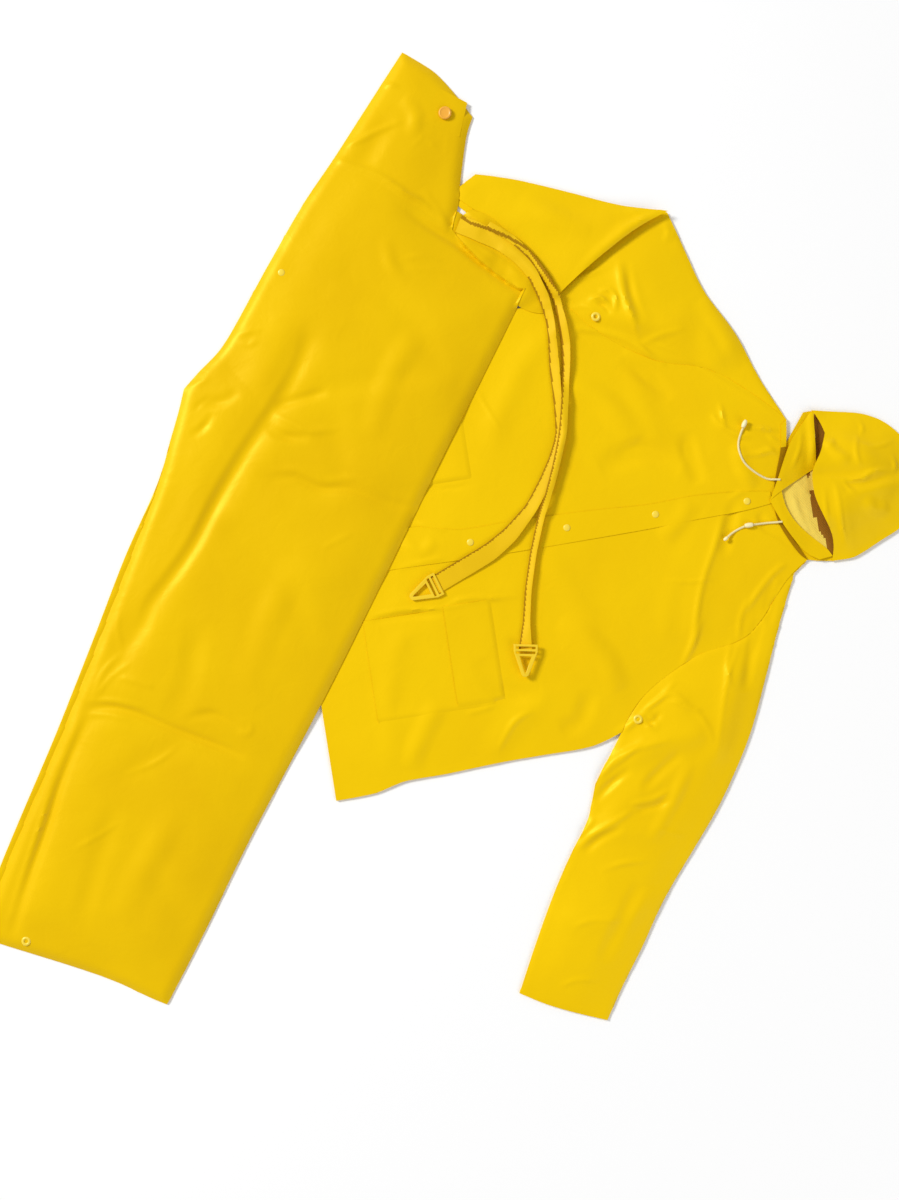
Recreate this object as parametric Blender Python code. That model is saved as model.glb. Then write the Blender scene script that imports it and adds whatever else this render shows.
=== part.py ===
"""A two-piece rain suit laid flat: a hooded jacket front up, and bib trousers folded in half on its hem.

Every cloth piece is a wall over one shared plan map, a triangulation whose edges follow all the outlines
and folds. A piece takes the map's triangles inside its outline and lies a small gap above whatever is
already there, so that layers follow each other and never meet. Tables are in millimetres in each
garment's own directions: "along" runs from neck to hem on the jacket, from hem to bib on the trousers
and from shoulder to cuff on the sleeve. "Across" is a quarter turn anticlockwise from it.
"""

import math
from collections import namedtuple

import bmesh
import bpy
from mathutils import Vector
from mathutils.geometry import delaunay_2d_cdt, intersect_point_line

MM = 0.001

CLOTH = 1.2 * MM
WEBBING = 1.6 * MM
GAP = 0.3 * MM
SEAM_INSET = 0.5 * GAP
OUTLINE_STEP = 34 * MM
MAP_STEP = 46 * MM
MAP_CLEARANCE = 15 * MM
FLANK_CLEARANCE = 7 * MM
MAP_SNAP = 0.4 * MM
FLAT_ANGLE = math.radians(0.05)

JACKET_PUFF = 3.0 * MM
JACKET_REACH = 60 * MM
SLEEVE_PUFF = 7.0 * MM
SLEEVE_REACH = 45 * MM
TROUSER_PUFF = 8.0 * MM
TROUSER_REACH = 75 * MM
HIDDEN_LAYERS = 3.6 * MM
LEDGE_HEIGHT = 2.4 * MM
HEM_RAMP = 70 * MM
FLATTENED_REACH = 45 * MM
FOLD_TAPER = 22 * MM
FOLD_STEP = 30 * MM
HOOD_RISE = 23 * MM
HOOD_REACH = 75 * MM
FACING_LIFT = 9 * MM
FACING_REACH = 26 * MM
FACING_STEP = 20 * MM
FACING_TIP_SHARE = 0.45
FACING_TIP_REACH = 104 * MM
TURNBACK_LIFT = 8 * MM
TURNBACK_REACH = 60 * MM
WEBBING_WIDTH = 26 * MM
WEBBING_TILT = 0.33
WEBBING_GAP = 0.7 * MM
STRAP_STEP = 60 * MM

CORD_DIAMETER = 3.0 * MM
CORD_STEP = 7.5 * MM
CORD_CLEARANCE = 0.5 * MM
BEAD_RADIUS = 3.6 * MM
KNOB_RADIUS = 2.6 * MM

YELLOW = (0.88, 0.55, 0.006)
YELLOW_TROUSERS = (0.85, 0.52, 0.006)
YELLOW_REVERSE = (0.90, 0.66, 0.09)
YELLOW_PLASTIC = (0.93, 0.64, 0.02)
ORANGE_PLASTIC = (0.90, 0.42, 0.04)
IVORY = (0.87, 0.80, 0.52)

Place = namedtuple("Place", "along across")
Side = namedtuple("Side", "along upper lower")
Fold = namedtuple("Fold", "places half_width height")
Strap = namedtuple("Strap", "along across half_width")
Finish = namedtuple("Finish", "name colour roughness")

CLOTH_FINISH = Finish("coated_cloth", YELLOW, 0.36)
TROUSER_FINISH = Finish("coated_cloth_trousers", YELLOW_TROUSERS, 0.36)
REVERSE_FINISH = Finish("cloth_reverse", YELLOW_REVERSE, 0.7)
WEBBING_FINISH = Finish("elastic_webbing", YELLOW, 0.6)
CLIP_FINISH = Finish("moulded_plastic", YELLOW_PLASTIC, 0.3)
SNAP_FINISH = Finish("snap_plastic", YELLOW_PLASTIC, 0.4)
BUTTON_FINISH = Finish("button_plastic", ORANGE_PLASTIC, 0.35)
CORD_FINISH = Finish("braided_cord", IVORY, 0.8)
BEAD_FINISH = Finish("cord_fittings", IVORY, 0.45)

# Jacket: half widths of the body to each side of its middle line, from the armpit to the hem
JACKET_SIDE = [
    Side(273, -320, 300), Side(316, -316, 314), Side(390, -318, 316), Side(448, -320, 317),
    Side(532, -326, 322), Side(590, -331, 323), Side(630, -336, 334), Side(688, -341, 336),
]
# Raglan seams, from the neck to the armpit
RAGLAN = [
    Side(-24, -104, 98), Side(10, -139, 122), Side(74, -191, 191), Side(147, -213, 207),
    Side(215, -260, 240), Side(250, -298, 268), Side(273, -320, 300),
]
NECKLINE = [
    Place(-24, -104), Place(-18, -65), Place(-7, -33), Place(3, 8), Place(0, 45), Place(-11, 72),
    Place(-24, 98),
]
JACKET_END_UPPER = Place(JACKET_SIDE[-1].along, JACKET_SIDE[-1].upper)
JACKET_END_LOWER = Place(JACKET_SIDE[-1].along, JACKET_SIDE[-1].lower)
FRONT_OPENING_ACROSS = 3
FRONT_OPENING_TOP = 2
HEM_ALONG = 690
PLACKET = [
    Side(14, -6, 11), Side(57, -12, 16), Side(124, -16, 18), Side(186, -13, 21), Side(268, -17, 23),
    Side(381, -19, 25), Side(463, -18, 25), Side(518, -32, 24), Side(600, -24, 24), Side(684, -22, 24),
]
NECK_BINDING_WIDTH = 9
NECK_BINDING_SHARE = 0.93
POCKET_ALONG = (441, 612)
POCKET_ACROSS = (90, 236)
FLAP_ALONG = (428, 497)
FLAP_ACROSS = (86, 230)
SNAP_PLACES = [Place(49, 3), Place(180, 2), Place(307, 2), Place(445, 2)]
EYELET_PLACES = [Place(222, -287), Place(248, 285)]

JACKET_FOLDS = [
    Fold([Place(92, 40), Place(131, 104), Place(150, 165)], 20, 3.5),
    Fold([Place(125, 42), Place(170, 110), Place(190, 170)], 16, 2.5),
    Fold([Place(386, 80), Place(480, 76), Place(602, 78)], 13, 3.0),
    Fold([Place(452, 292), Place(420, 262), Place(392, 246)], 16, 3.5),
    Fold([Place(260, 262), Place(285, 215), Place(330, 160)], 18, 3.0),
    Fold([Place(62, -112), Place(30, -88), Place(8, -66)], 12, 4.0),
    Fold([Place(80, -80), Place(50, -60), Place(20, -40)], 12, 3.0),
    Fold([Place(180, -215), Place(175, -160), Place(160, -100)], 20, 3.0),
    Fold([Place(262, -290), Place(330, -240), Place(390, -150)], 20, 3.5),
    Fold([Place(330, 60), Place(300, 130), Place(300, 200)], 20, 2.5),
    Fold([Place(560, 120), Place(590, 190), Place(600, 270)], 18, 2.5),
]

# Left sleeve, from the armpit and the neck to the cuff
SLEEVE_UNDER_EDGE = [
    Place(264, -67), Place(308, -72), Place(357, -63), Place(405, -68), Place(464, -71),
    Place(538, -70), Place(623, -66),
]
SLEEVE_CUFF = [Place(623, -66), Place(624, -37), Place(622, 2), Place(614, 64)]
SLEEVE_OUTER_EDGE = [
    Place(614, 64), Place(567, 66), Place(495, 73), Place(427, 77), Place(349, 90), Place(277, 102),
    Place(210, 107), Place(155, 107), Place(80, 99), Place(0, 90), Place(-73, 84),
]
LEFT_SLEEVE_FOLDS = [
    Fold([Place(395, -60), Place(362, -40), Place(350, 0)], 15, 5.0),
    Fold([Place(322, -70), Place(262, -50), Place(212, 2), Place(190, 40)], 18, 6.0),
    Fold([Place(376, -56), Place(330, -30), Place(293, -9)], 14, 4.0),
    Fold([Place(80, 56), Place(140, 64), Place(205, 74)], 16, 5.0),
    Fold([Place(-40, 60), Place(10, 52), Place(50, 40), Place(90, 10)], 15, 6.0),
    Fold([Place(140, -20), Place(170, 5), Place(175, 40)], 14, 4.0),
    Fold([Place(430, 60), Place(480, 20), Place(500, -40)], 18, 3.5),
]

# Right sleeve, in the jacket's directions: it runs out to a fold and comes back over itself
RIGHT_OUTER_EDGE = [
    Place(-24, -104), Place(4, -164), Place(30, -236), Place(63, -297), Place(78, -345),
    Place(92, -395), Place(99, -419),
]
RIGHT_FOLD_EDGE = [
    Place(99, -419), Place(159, -436), Place(224, -464), Place(303, -496), Place(360, -513),
]
RIGHT_FOLD_END = [Place(360, -513), Place(385, -499), Place(392, -474)]
RIGHT_UNDER_EDGE = [Place(392, -474), Place(335, -411), Place(302, -364), Place(273, -320)]
TURNBACK_OUTER_EDGE = [
    Place(269, -326), Place(258, -334), Place(212, -365), Place(162, -394), Place(129, -409),
    Place(99, -419),
]
TURNBACK_END = [Place(360, -513), Place(384, -499), Place(390, -483)]
TURNBACK_UNDER_EDGE = [Place(390, -483), Place(337, -431), Place(300, -382), Place(269, -326)]
RIGHT_SLEEVE_FOLDS = [
    Fold([Place(225, -300), Place(175, -275), Place(110, -255)], 17, 6.0),
    Fold([Place(179, -361), Place(172, -310), Place(168, -262)], 14, 6.0),
    Fold([Place(100, -190), Place(60, -200), Place(40, -215)], 14, 4.0),
    Fold([Place(40, -140), Place(60, -175), Place(70, -240)], 14, 4.0),
]
TURNBACK_FOLDS = [
    Fold([Place(180, -425), Place(230, -420), Place(300, -440)], 18, 3.5),
    Fold([Place(230, -370), Place(270, -385), Place(310, -410)], 14, 3.0),
]

# Hood, in the jacket's directions: behind the neck, open towards the front and the floor side
HOOD_UPPER_EDGE = [
    Place(-24, -104), Place(-38, -109), Place(-60, -111), Place(-88, -105), Place(-131, -96),
    Place(-155, -84), Place(-180, -58), Place(-198, -26), Place(-206, 8),
]
HOOD_LOWER_EDGE = [
    Place(-206, 8), Place(-197, 36), Place(-160, 74), Place(-129, 87), Place(-89, 105),
    Place(-58, 105), Place(-40, 102), Place(-24, 98),
]
HOOD_MOUTH = [
    Place(-60, -111), Place(-70, -94), Place(-73, -76), Place(-62, -51), Place(-48, -32),
    Place(-43, -19), Place(-42, 8), Place(-47, 28), Place(-54, 47), Place(-62, 68), Place(-63, 86),
    Place(-58, 105),
]
UPPER_FACING_EDGE = [
    Place(-58, -108), Place(-26, -74), Place(-12, -50), Place(1, -23), Place(17, 7),
]
UPPER_FACING_INNER = [
    Place(-2, -5), Place(-41, -23), Place(-64, -34), Place(-88, -58), Place(-92, -82), Place(-80, -101),
]
LOWER_FACING_EDGE = [
    Place(17, 7), Place(5, 40), Place(-11, 71), Place(-25, 91), Place(-40, 100),
]
LOWER_FACING_INNER = [
    Place(-60, 98), Place(-56, 88), Place(-34, 66), Place(-12, 38), Place(-3, 15), Place(-2, -5),
]
HOOD_FOLDS = [
    Fold([Place(-52, -18), Place(-110, -12), Place(-172, -8)], 14, -6.0),
    Fold([Place(-80, 10), Place(-78, 40), Place(-82, 66)], 11, 3.0),
    Fold([Place(-100, -60), Place(-125, -40), Place(-120, -20)], 12, 3.0),
]

# Trousers: the crotch side, from the ankle to the top of the bib, and the side of the bib
INSEAM = [
    Place(-35, 280), Place(48, 290), Place(137, 297), Place(260, 305), Place(351, 313),
    Place(435, 321), Place(544, 332), Place(651, 343), Place(710, 355), Place(762, 365),
    Place(790, 372),
]
CENTRE_FRONT = [
    Place(790, 372), Place(822, 364), Place(862, 351), Place(910, 347), Place(991, 345),
    Place(1058, 342), Place(1105, 339), Place(1158, 332), Place(1182, 329), Place(1270, 320),
    Place(1356, 311),
]
BIB_TOP = [Place(1356, 311), Place(1352, 260), Place(1347, 244), Place(1338, 221), Place(1319, 181)]
BIB_SIDE = [Place(1319, 181), Place(1295, 178), Place(1226, 154), Place(1194, 141), Place(1163, 134)]
BACK_WAIST = [Place(1163, 134), Place(1142, 80), Place(1131, 14), Place(1135, 3)]
SIDE_FOLD = [
    Place(1135, 3), Place(853, 1), Place(665, -2), Place(479, -3), Place(270, 1), Place(114, -1),
    Place(0, 0),
]
TROUSER_HEM = [
    Place(0, 0), Place(-2, 26), Place(-3, 75), Place(-10, 133), Place(-20, 194), Place(-35, 280),
]
UNDER_LEG_SPREAD = 8
UNDER_LEG_TOP = 690
UNDER_LEG_BLEND = 120
TROUSER_FOLDS = [
    Fold([Place(1180, 322), Place(1183, 246), Place(1178, 189), Place(1163, 140)], 16, -4.5),
    Fold([Place(1158, 203), Place(1149, 138), Place(1137, 40)], 18, -5.5),
    Fold([Place(934, 244), Place(829, 243), Place(749, 251), Place(671, 259)], 22, -6.0),
    Fold([Place(671, 259), Place(541, 267), Place(415, 281)], 18, -5.0),
    Fold([Place(829, 238), Place(881, 190), Place(900, 160)], 14, -4.0),
    Fold([Place(733, 203), Place(749, 136), Place(783, 98), Place(783, 12)], 17, -4.5),
    Fold([Place(851, 336), Place(826, 271)], 12, -3.5),
    Fold([Place(330, 289), Place(349, 226), Place(355, 155), Place(362, 64)], 17, -5.0),
    Fold([Place(272, 195), Place(318, 168), Place(337, 149)], 14, -3.5),
    Fold([Place(320, 278), Place(210, 275), Place(148, 264), Place(20, 256)], 15, -5.0),
    Fold([Place(560, 60), Place(620, 130), Place(640, 220)], 20, -3.0),
    Fold([Place(120, 40), Place(170, 110), Place(180, 190)], 20, -3.0),
    Fold([Place(980, 60), Place(1030, 150), Place(1040, 240)], 20, -3.0),
]
BUTTON_PATCH = [Place(1333, 196), Place(1333, 240), Place(1279, 237), Place(1284, 184)]
BIB_BUTTON_PLACE = Place(1304, 217)
FLY_SNAP_PLACE = Place(999, 322)
ANKLE_SNAP_PLACE = Place(-8, 218)

# Back panel of the trousers, in the jacket's directions: it comes out at the waist and narrows to a
# point that the braces are sewn to
BACK_PANEL_TOP = [
    Place(399, -468), Place(386, -457), Place(372, -463), Place(357, -455), Place(345, -446),
    Place(334, -431), Place(322, -418), Place(307, -406), Place(297, -393), Place(285, -369),
    Place(275, -347), Place(268, -324),
]
BACK_PANEL_LOWER = [
    Place(276, -310), Place(291, -304), Place(308, -307), Place(325, -318), Place(345, -333),
    Place(388, -376), Place(410, -425),
]
BACK_PANEL_FOLDS = [
    Fold([Place(340, -398), Place(315, -380), Place(300, -352), Place(288, -330)], 10, 3.5),
]
BACK_PANEL_PUFF = 4.0 * MM

# Braces, in the jacket's directions, from the back panel's point to the clips
LEFT_BRACE = [
    Strap(394, -447, 12.8), Strap(366, -429, 12.8), Strap(339, -411, 11.4), Strap(317, -388, 9.9),
    Strap(301, -359, 7.1), Strap(290, -323, 5.9), Strap(286, -291, 5.7), Strap(290, -229, 7.1),
    Strap(293, -172, 5.7), Strap(297, -130, 5.0), Strap(328, -66, 5.7), Strap(353, -32, 8.5),
    Strap(388, 0, 11.4), Strap(420, 20, 12.8), Strap(466, 39, 13.0), Strap(507, 56, 13.0),
]
RIGHT_BRACE = [
    Strap(353, -437, 5), Strap(322, -412, 5), Strap(300, -384, 5), Strap(284, -352, 5),
    Strap(273, -323, 5), Strap(269, -288, 6), Strap(269, -255, 5),
    Strap(273, -224, 5), Strap(283, -178, 5), Strap(293, -130, 4.5), Strap(322, -57, 4.5),
    Strap(341, -17, 4.5), Strap(359, 30, 4.5), Strap(374, 81, 5), Strap(391, 166, 9.5),
]
LEFT_CLIP_TURN = 18.0
RIGHT_CLIP_TURN = 80.0
CLIP_THICKNESS = 3.0 * MM
CLIP_BAR = 34 * MM
CLIP_LENGTH = 46 * MM
CLIP_NOSE = 12 * MM
CLIP_SLOT = 3.6 * MM
CLIP_RIM = 3.2 * MM
CLIP_SHOULDER = 0.22
CLIP_HOLE_SHARE = 0.62
CLIP_PROBES = 13

# Profiles turned round an upright axis, as radius and level in millimetres
SNAP_PROFILE = [(0, 0), (4.9, 0), (5.0, 0.7), (4.2, 1.5), (2.6, 1.9), (1.8, 1.3), (0, 1.3)]
EYELET_PROFILE = [(2.6, 0), (6.4, 0), (6.6, 0.6), (4.6, 1.8), (2.8, 0.9)]
BUTTON_PROFILE = [
    (0, 0), (5.0, 0), (5.0, 1.4), (9.0, 1.6), (9.2, 2.8), (7.6, 4.2), (5.6, 3.5), (0, 3.5),
]

# Drawcord ends, in the jacket's directions, from under the hood facings
UPPER_CORD = [
    Place(-5, -20), Place(2, -21), Place(16, -24), Place(32, -36), Place(45, -51), Place(51, -71),
    Place(47, -89), Place(41, -100),
]
LOWER_CORD = [
    Place(-3, 40), Place(5, 40), Place(26, 38), Place(42, 37), Place(54, 36), Place(73, 43),
    Place(84, 49),
]
TOGGLE_PLACES = (Place(40, -102), Place(34, -113))
BEAD_PLACES = (Place(46, 37), Place(58, 37))
END_KNOB_PLACES = (Place(84.7, 49.4), Place(90, 55))


class Frame:
    """A garment's own directions in the plan: where it starts and which way along it runs."""

    def __init__(self, x, y, turn):
        self.start = Vector((x, y))
        self.along = Vector((math.cos(math.radians(turn)), math.sin(math.radians(turn))))
        self.across = Vector((-self.along.y, self.along.x))

    def point(self, place):
        """Return a table row's place, in millimetres, as a plan point in metres."""
        return self.start + (self.along * place.along + self.across * place.across) * MM

    def line(self, places):
        """Return table rows as plan points."""
        return [self.point(place) for place in places]


JACKET = Frame(465 * MM, 60 * MM, 188.6)
SLEEVE = Frame(380 * MM, -90 * MM, 249.0)
TROUSERS = Frame(-405 * MM, -664 * MM, 63.2)


def smoothstep(value):
    """Return 0 below 0, 1 above 1 and a soft step between."""
    value = min(max(value, 0.0), 1.0)
    return value * value * (3.0 - 2.0 * value)


def curve_through(points, step):
    """Return points along a smooth curve through the given ones, no further apart than the step."""
    result = []
    last = len(points) - 1
    for index in range(last):
        before = points[max(index - 1, 0)]
        start = points[index]
        end = points[index + 1]
        after = points[min(index + 2, last)]
        pieces = max(1, math.ceil((end - start).length / step))
        for piece in range(pieces):
            t = piece / pieces
            result.append(0.5 * (
                2.0 * start + (end - before) * t
                + (2.0 * before - 5.0 * start + 4.0 * end - after) * t * t
                + (3.0 * start - before - 3.0 * end + after) * t * t * t
            ))
    result.append(points[last].copy())
    return result


def edge(frame, places, step=OUTLINE_STEP):
    """Return a garment's edge as a smooth line through its table rows."""
    return curve_through(frame.line(places), step)


def closed(*lines):
    """Join lines end to end into one outline without doubled points."""
    outline = []
    for line in lines:
        for point in line:
            if not outline or (point - outline[-1]).length > MAP_SNAP:
                outline.append(point)
    if (outline[0] - outline[-1]).length <= MAP_SNAP:
        outline.pop()
    return outline


def inside(point, outline):
    """Say whether a plan point lies within an outline."""
    result = False
    previous = outline[-1]
    for current in outline:
        if (current.y > point.y) != (previous.y > point.y):
            crossing = (previous.x - current.x) * (point.y - current.y) / (previous.y - current.y)
            if point.x < crossing + current.x:
                result = not result
        previous = current
    return result


def distance_to_line(point, line):
    """Return how far a plan point is from an open line."""
    best = math.inf
    for start, end in zip(line, line[1:]):
        foot, share = intersect_point_line(point, start, end)
        nearest = start if share < 0.0 else end if share > 1.0 else foot.to_2d()
        best = min(best, (point - nearest).length)
    return best


def distance_to_outline(point, outline):
    """Return how far a plan point is from a closed outline."""
    return distance_to_line(point, outline + [outline[0]])


def fold_lines(frame, folds):
    """Return folds as plan lines with their half width and height in metres."""
    return [
        Fold(edge(frame, fold.places, FOLD_STEP), fold.half_width * MM, fold.height * MM) for fold in folds
    ]


def relief(point, outline, puff, reach, folds):
    """Return how high cloth stands at a plan point: its puff, with folds raised or sunk in it."""
    to_edge = distance_to_outline(point, outline)
    rise = puff * smoothstep(to_edge / reach)
    taper = smoothstep(to_edge / FOLD_TAPER)
    for fold in folds:
        away = distance_to_line(point, fold.places)
        if away < fold.half_width:
            rise += fold.height * taper * math.cos(0.5 * math.pi * away / fold.half_width) ** 2
    return max(rise, 0.0)


class PlanMap:
    """One triangulation of the plan that every outline and fold is an edge of."""

    def __init__(self):
        self.points = []
        self.segments = []
        self.vertices = []
        self.triangles = []

    def add_line(self, line, is_closed=False):
        """Add a line whose stretches stay edges of the map."""
        first = len(self.points)
        self.points.extend(line)
        count = len(line)
        for index in range(count if is_closed else count - 1):
            self.segments.append((first + index, first + (index + 1) % count))

    def add_point(self, point, clearance):
        """Add a point of its own unless it is near what is already there."""
        for start, end in self.segments:
            a, b = self.points[start], self.points[end]
            if min((a - point).length, (b - point).length) - (b - a).length > clearance:
                continue
            if distance_to_line(point, (a, b)) < clearance:
                return
        if all((other - point).length >= clearance for other in self.points):
            self.points.append(point)

    def add_fold(self, fold):
        """Add a fold's crest, and the points where its flanks meet the cloth beside it."""
        self.add_line(fold.places)
        for index, point in enumerate(fold.places):
            before = fold.places[max(index - 1, 0)]
            after = fold.places[min(index + 1, len(fold.places) - 1)]
            run = (after - before).normalized()
            normal = Vector((-run.y, run.x))
            for side in (-1.0, 1.0):
                self.add_point(point + normal * side * fold.half_width, FLANK_CLEARANCE)

    def fill(self, outlines):
        """Spread an even lattice of points over all outlines, then triangulate everything."""
        xs = [point.x for outline in outlines for point in outline]
        ys = [point.y for outline in outlines for point in outline]
        row_step = MAP_STEP * math.sin(math.radians(60))
        rows = math.ceil((max(ys) - min(ys)) / row_step)
        columns = math.ceil((max(xs) - min(xs)) / MAP_STEP) + 1
        for row in range(rows):
            for column in range(columns):
                x = min(xs) + (column + 0.5 * (row % 2)) * MAP_STEP
                point = Vector((x, min(ys) + row * row_step))
                if any(inside(point, outline) for outline in outlines):
                    self.add_point(point, MAP_CLEARANCE)
        found = delaunay_2d_cdt(self.points, self.segments, [], 0, MAP_SNAP)
        self.vertices = found[0]
        self.triangles = [tuple(face) for face in found[2]]

    def triangles_inside(self, outline, apart_from):
        """Return the triangles within an outline and outside some others."""
        chosen = []
        for index, corners in enumerate(self.triangles):
            middle = sum((self.vertices[corner] for corner in corners), Vector((0.0, 0.0))) / 3.0
            if inside(middle, outline) and not any(inside(middle, other) for other in apart_from):
                chosen.append(index)
        return chosen


class Pile:
    """The cloth laid so far: how high its top is over the corners of each triangle of the map."""

    def __init__(self, plan, centre):
        self.plan = plan
        self.centre = centre
        self.triangle_top = {}

    def floor(self, chosen, clearance):
        """Return the lowest that a new piece over some triangles may lie at each of their corners."""
        lowest = {}
        for index in chosen:
            tops = self.triangle_top.get(index)
            for place, corner in enumerate(self.plan.triangles[index]):
                least = tops[place] + clearance if tops else 0.0
                lowest[corner] = max(lowest.get(corner, 0.0), least)
        return lowest

    def height(self, point, radius=0.0):
        """Return the top of the pile within a radius round a plan point."""
        probes = [point]
        for ring in (0.33, 0.67, 1.0):
            for step in range(12 if radius else 0):
                angle = step * math.pi / 6.0
                probes.append(point + Vector((math.cos(angle), math.sin(angle))) * radius * ring)
        return max(self.height_at(probe) for probe in probes)

    def height_at(self, point):
        """Return the top of the pile at one plan point."""
        for index, tops in self.triangle_top.items():
            a, b, c = (self.plan.vertices[corner] for corner in self.plan.triangles[index])
            total = (b - a).cross(c - a)
            wa = (b - point).cross(c - point) / total
            wb = (c - point).cross(a - point) / total
            wc = 1.0 - wa - wb
            if min(wa, wb, wc) >= -1e-6:
                return wa * tops[0] + wb * tops[1] + wc * tops[2]
        return 0.0

    def lay(self, name, finish, outline, thickness, height=None, apart_from=(), top=None, clearance=GAP):
        """Lay one piece on the pile as a closed wall and make its object.

        height gives, at a plan point, how high the underside would like to be, and top, where given,
        how high the upper side is above the underside instead of the plain thickness.
        """
        chosen = self.plan.triangles_inside(outline, apart_from)
        triangles = [self.plan.triangles[index] for index in chosen]
        low = self.floor(chosen, clearance)
        high = {}
        for vertex in sorted(low):
            point = self.plan.vertices[vertex]
            if height:
                low[vertex] = max(low[vertex], height(point))
            high[vertex] = low[vertex] + (top(point) if top else thickness)
        for index, corners in zip(chosen, triangles):
            self.triangle_top[index] = tuple(high[corner] for corner in corners)
        return self.build_wall(name, finish, triangles, low, high)

    def build_wall(self, name, finish, triangles, low, high):
        """Make the closed mesh between a piece's underside and its upper side."""
        rim = {}
        for corners in triangles:
            for start, end in zip(corners, corners[1:] + corners[:1]):
                rim[(start, end)] = True
        rim = [pair for pair in rim if (pair[1], pair[0]) not in rim]
        inset = self.rim_insets(rim)
        mesh = bmesh.new()
        lower = {}
        upper = {}
        for vertex in low:
            plan_point = self.plan.vertices[vertex] + inset.get(vertex, Vector((0.0, 0.0))) - self.centre
            lower[vertex] = mesh.verts.new((plan_point.x, plan_point.y, low[vertex]))
            upper[vertex] = mesh.verts.new((plan_point.x, plan_point.y, high[vertex]))
        for a, b, c in triangles:
            mesh.faces.new((upper[a], upper[b], upper[c]))
            mesh.faces.new((lower[c], lower[b], lower[a]))
        for start, end in rim:
            mesh.faces.new((lower[start], lower[end], upper[end], upper[start]))
        bmesh.ops.dissolve_limit(
            mesh, angle_limit=FLAT_ANGLE, verts=mesh.verts, edges=mesh.edges, use_dissolve_boundaries=False
        )
        return make_object(name, mesh, finish)

    def rim_insets(self, rim):
        """Return how far each rim vertex moves inwards, so that neighbours at a seam stay apart."""
        normals = {}
        for start, end in rim:
            run = (self.plan.vertices[end] - self.plan.vertices[start]).normalized()
            inward = Vector((-run.y, run.x))
            normals.setdefault(start, []).append(inward)
            normals.setdefault(end, []).append(inward)
        insets = {}
        for vertex, inwards in normals.items():
            total = sum(inwards, Vector((0.0, 0.0)))
            sharpness = max(total.length, 0.8)
            insets[vertex] = total * (2.0 * SEAM_INSET / sharpness ** 2)
        return insets


def make_material(finish):
    """Return the finish's material, made once."""
    material = bpy.data.materials.get(finish.name)
    if material is None:
        material = bpy.data.materials.new(finish.name)
        material.use_nodes = True
        shader = material.node_tree.nodes["Principled BSDF"]
        shader.inputs["Base Color"].default_value = (*finish.colour, 1.0)
        shader.inputs["Roughness"].default_value = finish.roughness
        shader.inputs["Metallic"].default_value = 0.0
    return material


def make_object(name, mesh, finish, smooth_angle=None):
    """Turn a bmesh into a named object with its finish."""
    data = bpy.data.meshes.new(name)
    mesh.to_mesh(data)
    mesh.free()
    data.materials.append(make_material(finish))
    if smooth_angle is not None:
        data.shade_smooth()
        data.set_sharp_from_angle(angle=math.radians(smooth_angle))
    made = bpy.data.objects.new(name, data)
    bpy.context.collection.objects.link(made)
    return made


def turned(name, finish, profile, steps, place, height, axis=Vector((0.0, 0.0, 1.0))):
    """Turn a profile of (radius, level) pairs round an axis and set it at a place."""
    mesh = bmesh.new()
    verts = [mesh.verts.new((radius, 0.0, level)) for radius, level in profile]
    closes = profile[0][0] > 0.0 and profile[-1][0] > 0.0
    for start, end in zip(verts, verts[1:] + (verts[:1] if closes else [])):
        mesh.edges.new((start, end))
    bmesh.ops.spin(
        mesh, geom=mesh.verts[:] + mesh.edges[:], cent=(0.0, 0.0, 0.0), axis=(0.0, 0.0, 1.0),
        dvec=(0.0, 0.0, 0.0), angle=2.0 * math.pi, steps=steps, use_merge=True,
    )
    bmesh.ops.remove_doubles(mesh, verts=mesh.verts, dist=1e-6)
    bmesh.ops.recalc_face_normals(mesh, faces=mesh.faces)
    turn = Vector((0.0, 0.0, 1.0)).rotation_difference(axis).to_matrix()
    bmesh.ops.rotate(mesh, cent=(0.0, 0.0, 0.0), matrix=turn, verts=mesh.verts)
    made = make_object(name, mesh, finish, smooth_angle=40)
    made.location = (place.x, place.y, height)
    return made


def prism(name, outline, low, high, finish):
    """Make an upright block from a plan outline."""
    mesh = bmesh.new()
    face = mesh.faces.new([mesh.verts.new((point.x, point.y, low)) for point in outline])
    grown = bmesh.ops.extrude_face_region(mesh, geom=[face])
    risen = [item for item in grown["geom"] if isinstance(item, bmesh.types.BMVert)]
    bmesh.ops.translate(mesh, verts=risen, vec=(0.0, 0.0, high - low))
    bmesh.ops.recalc_face_normals(mesh, faces=mesh.faces)
    return make_object(name, mesh, finish)


def side_line(frame, rows, column, step=OUTLINE_STEP):
    """Return one side of a table of widths as a smooth line."""
    return edge(frame, [Place(row.along, getattr(row, column)) for row in rows], step)


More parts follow.
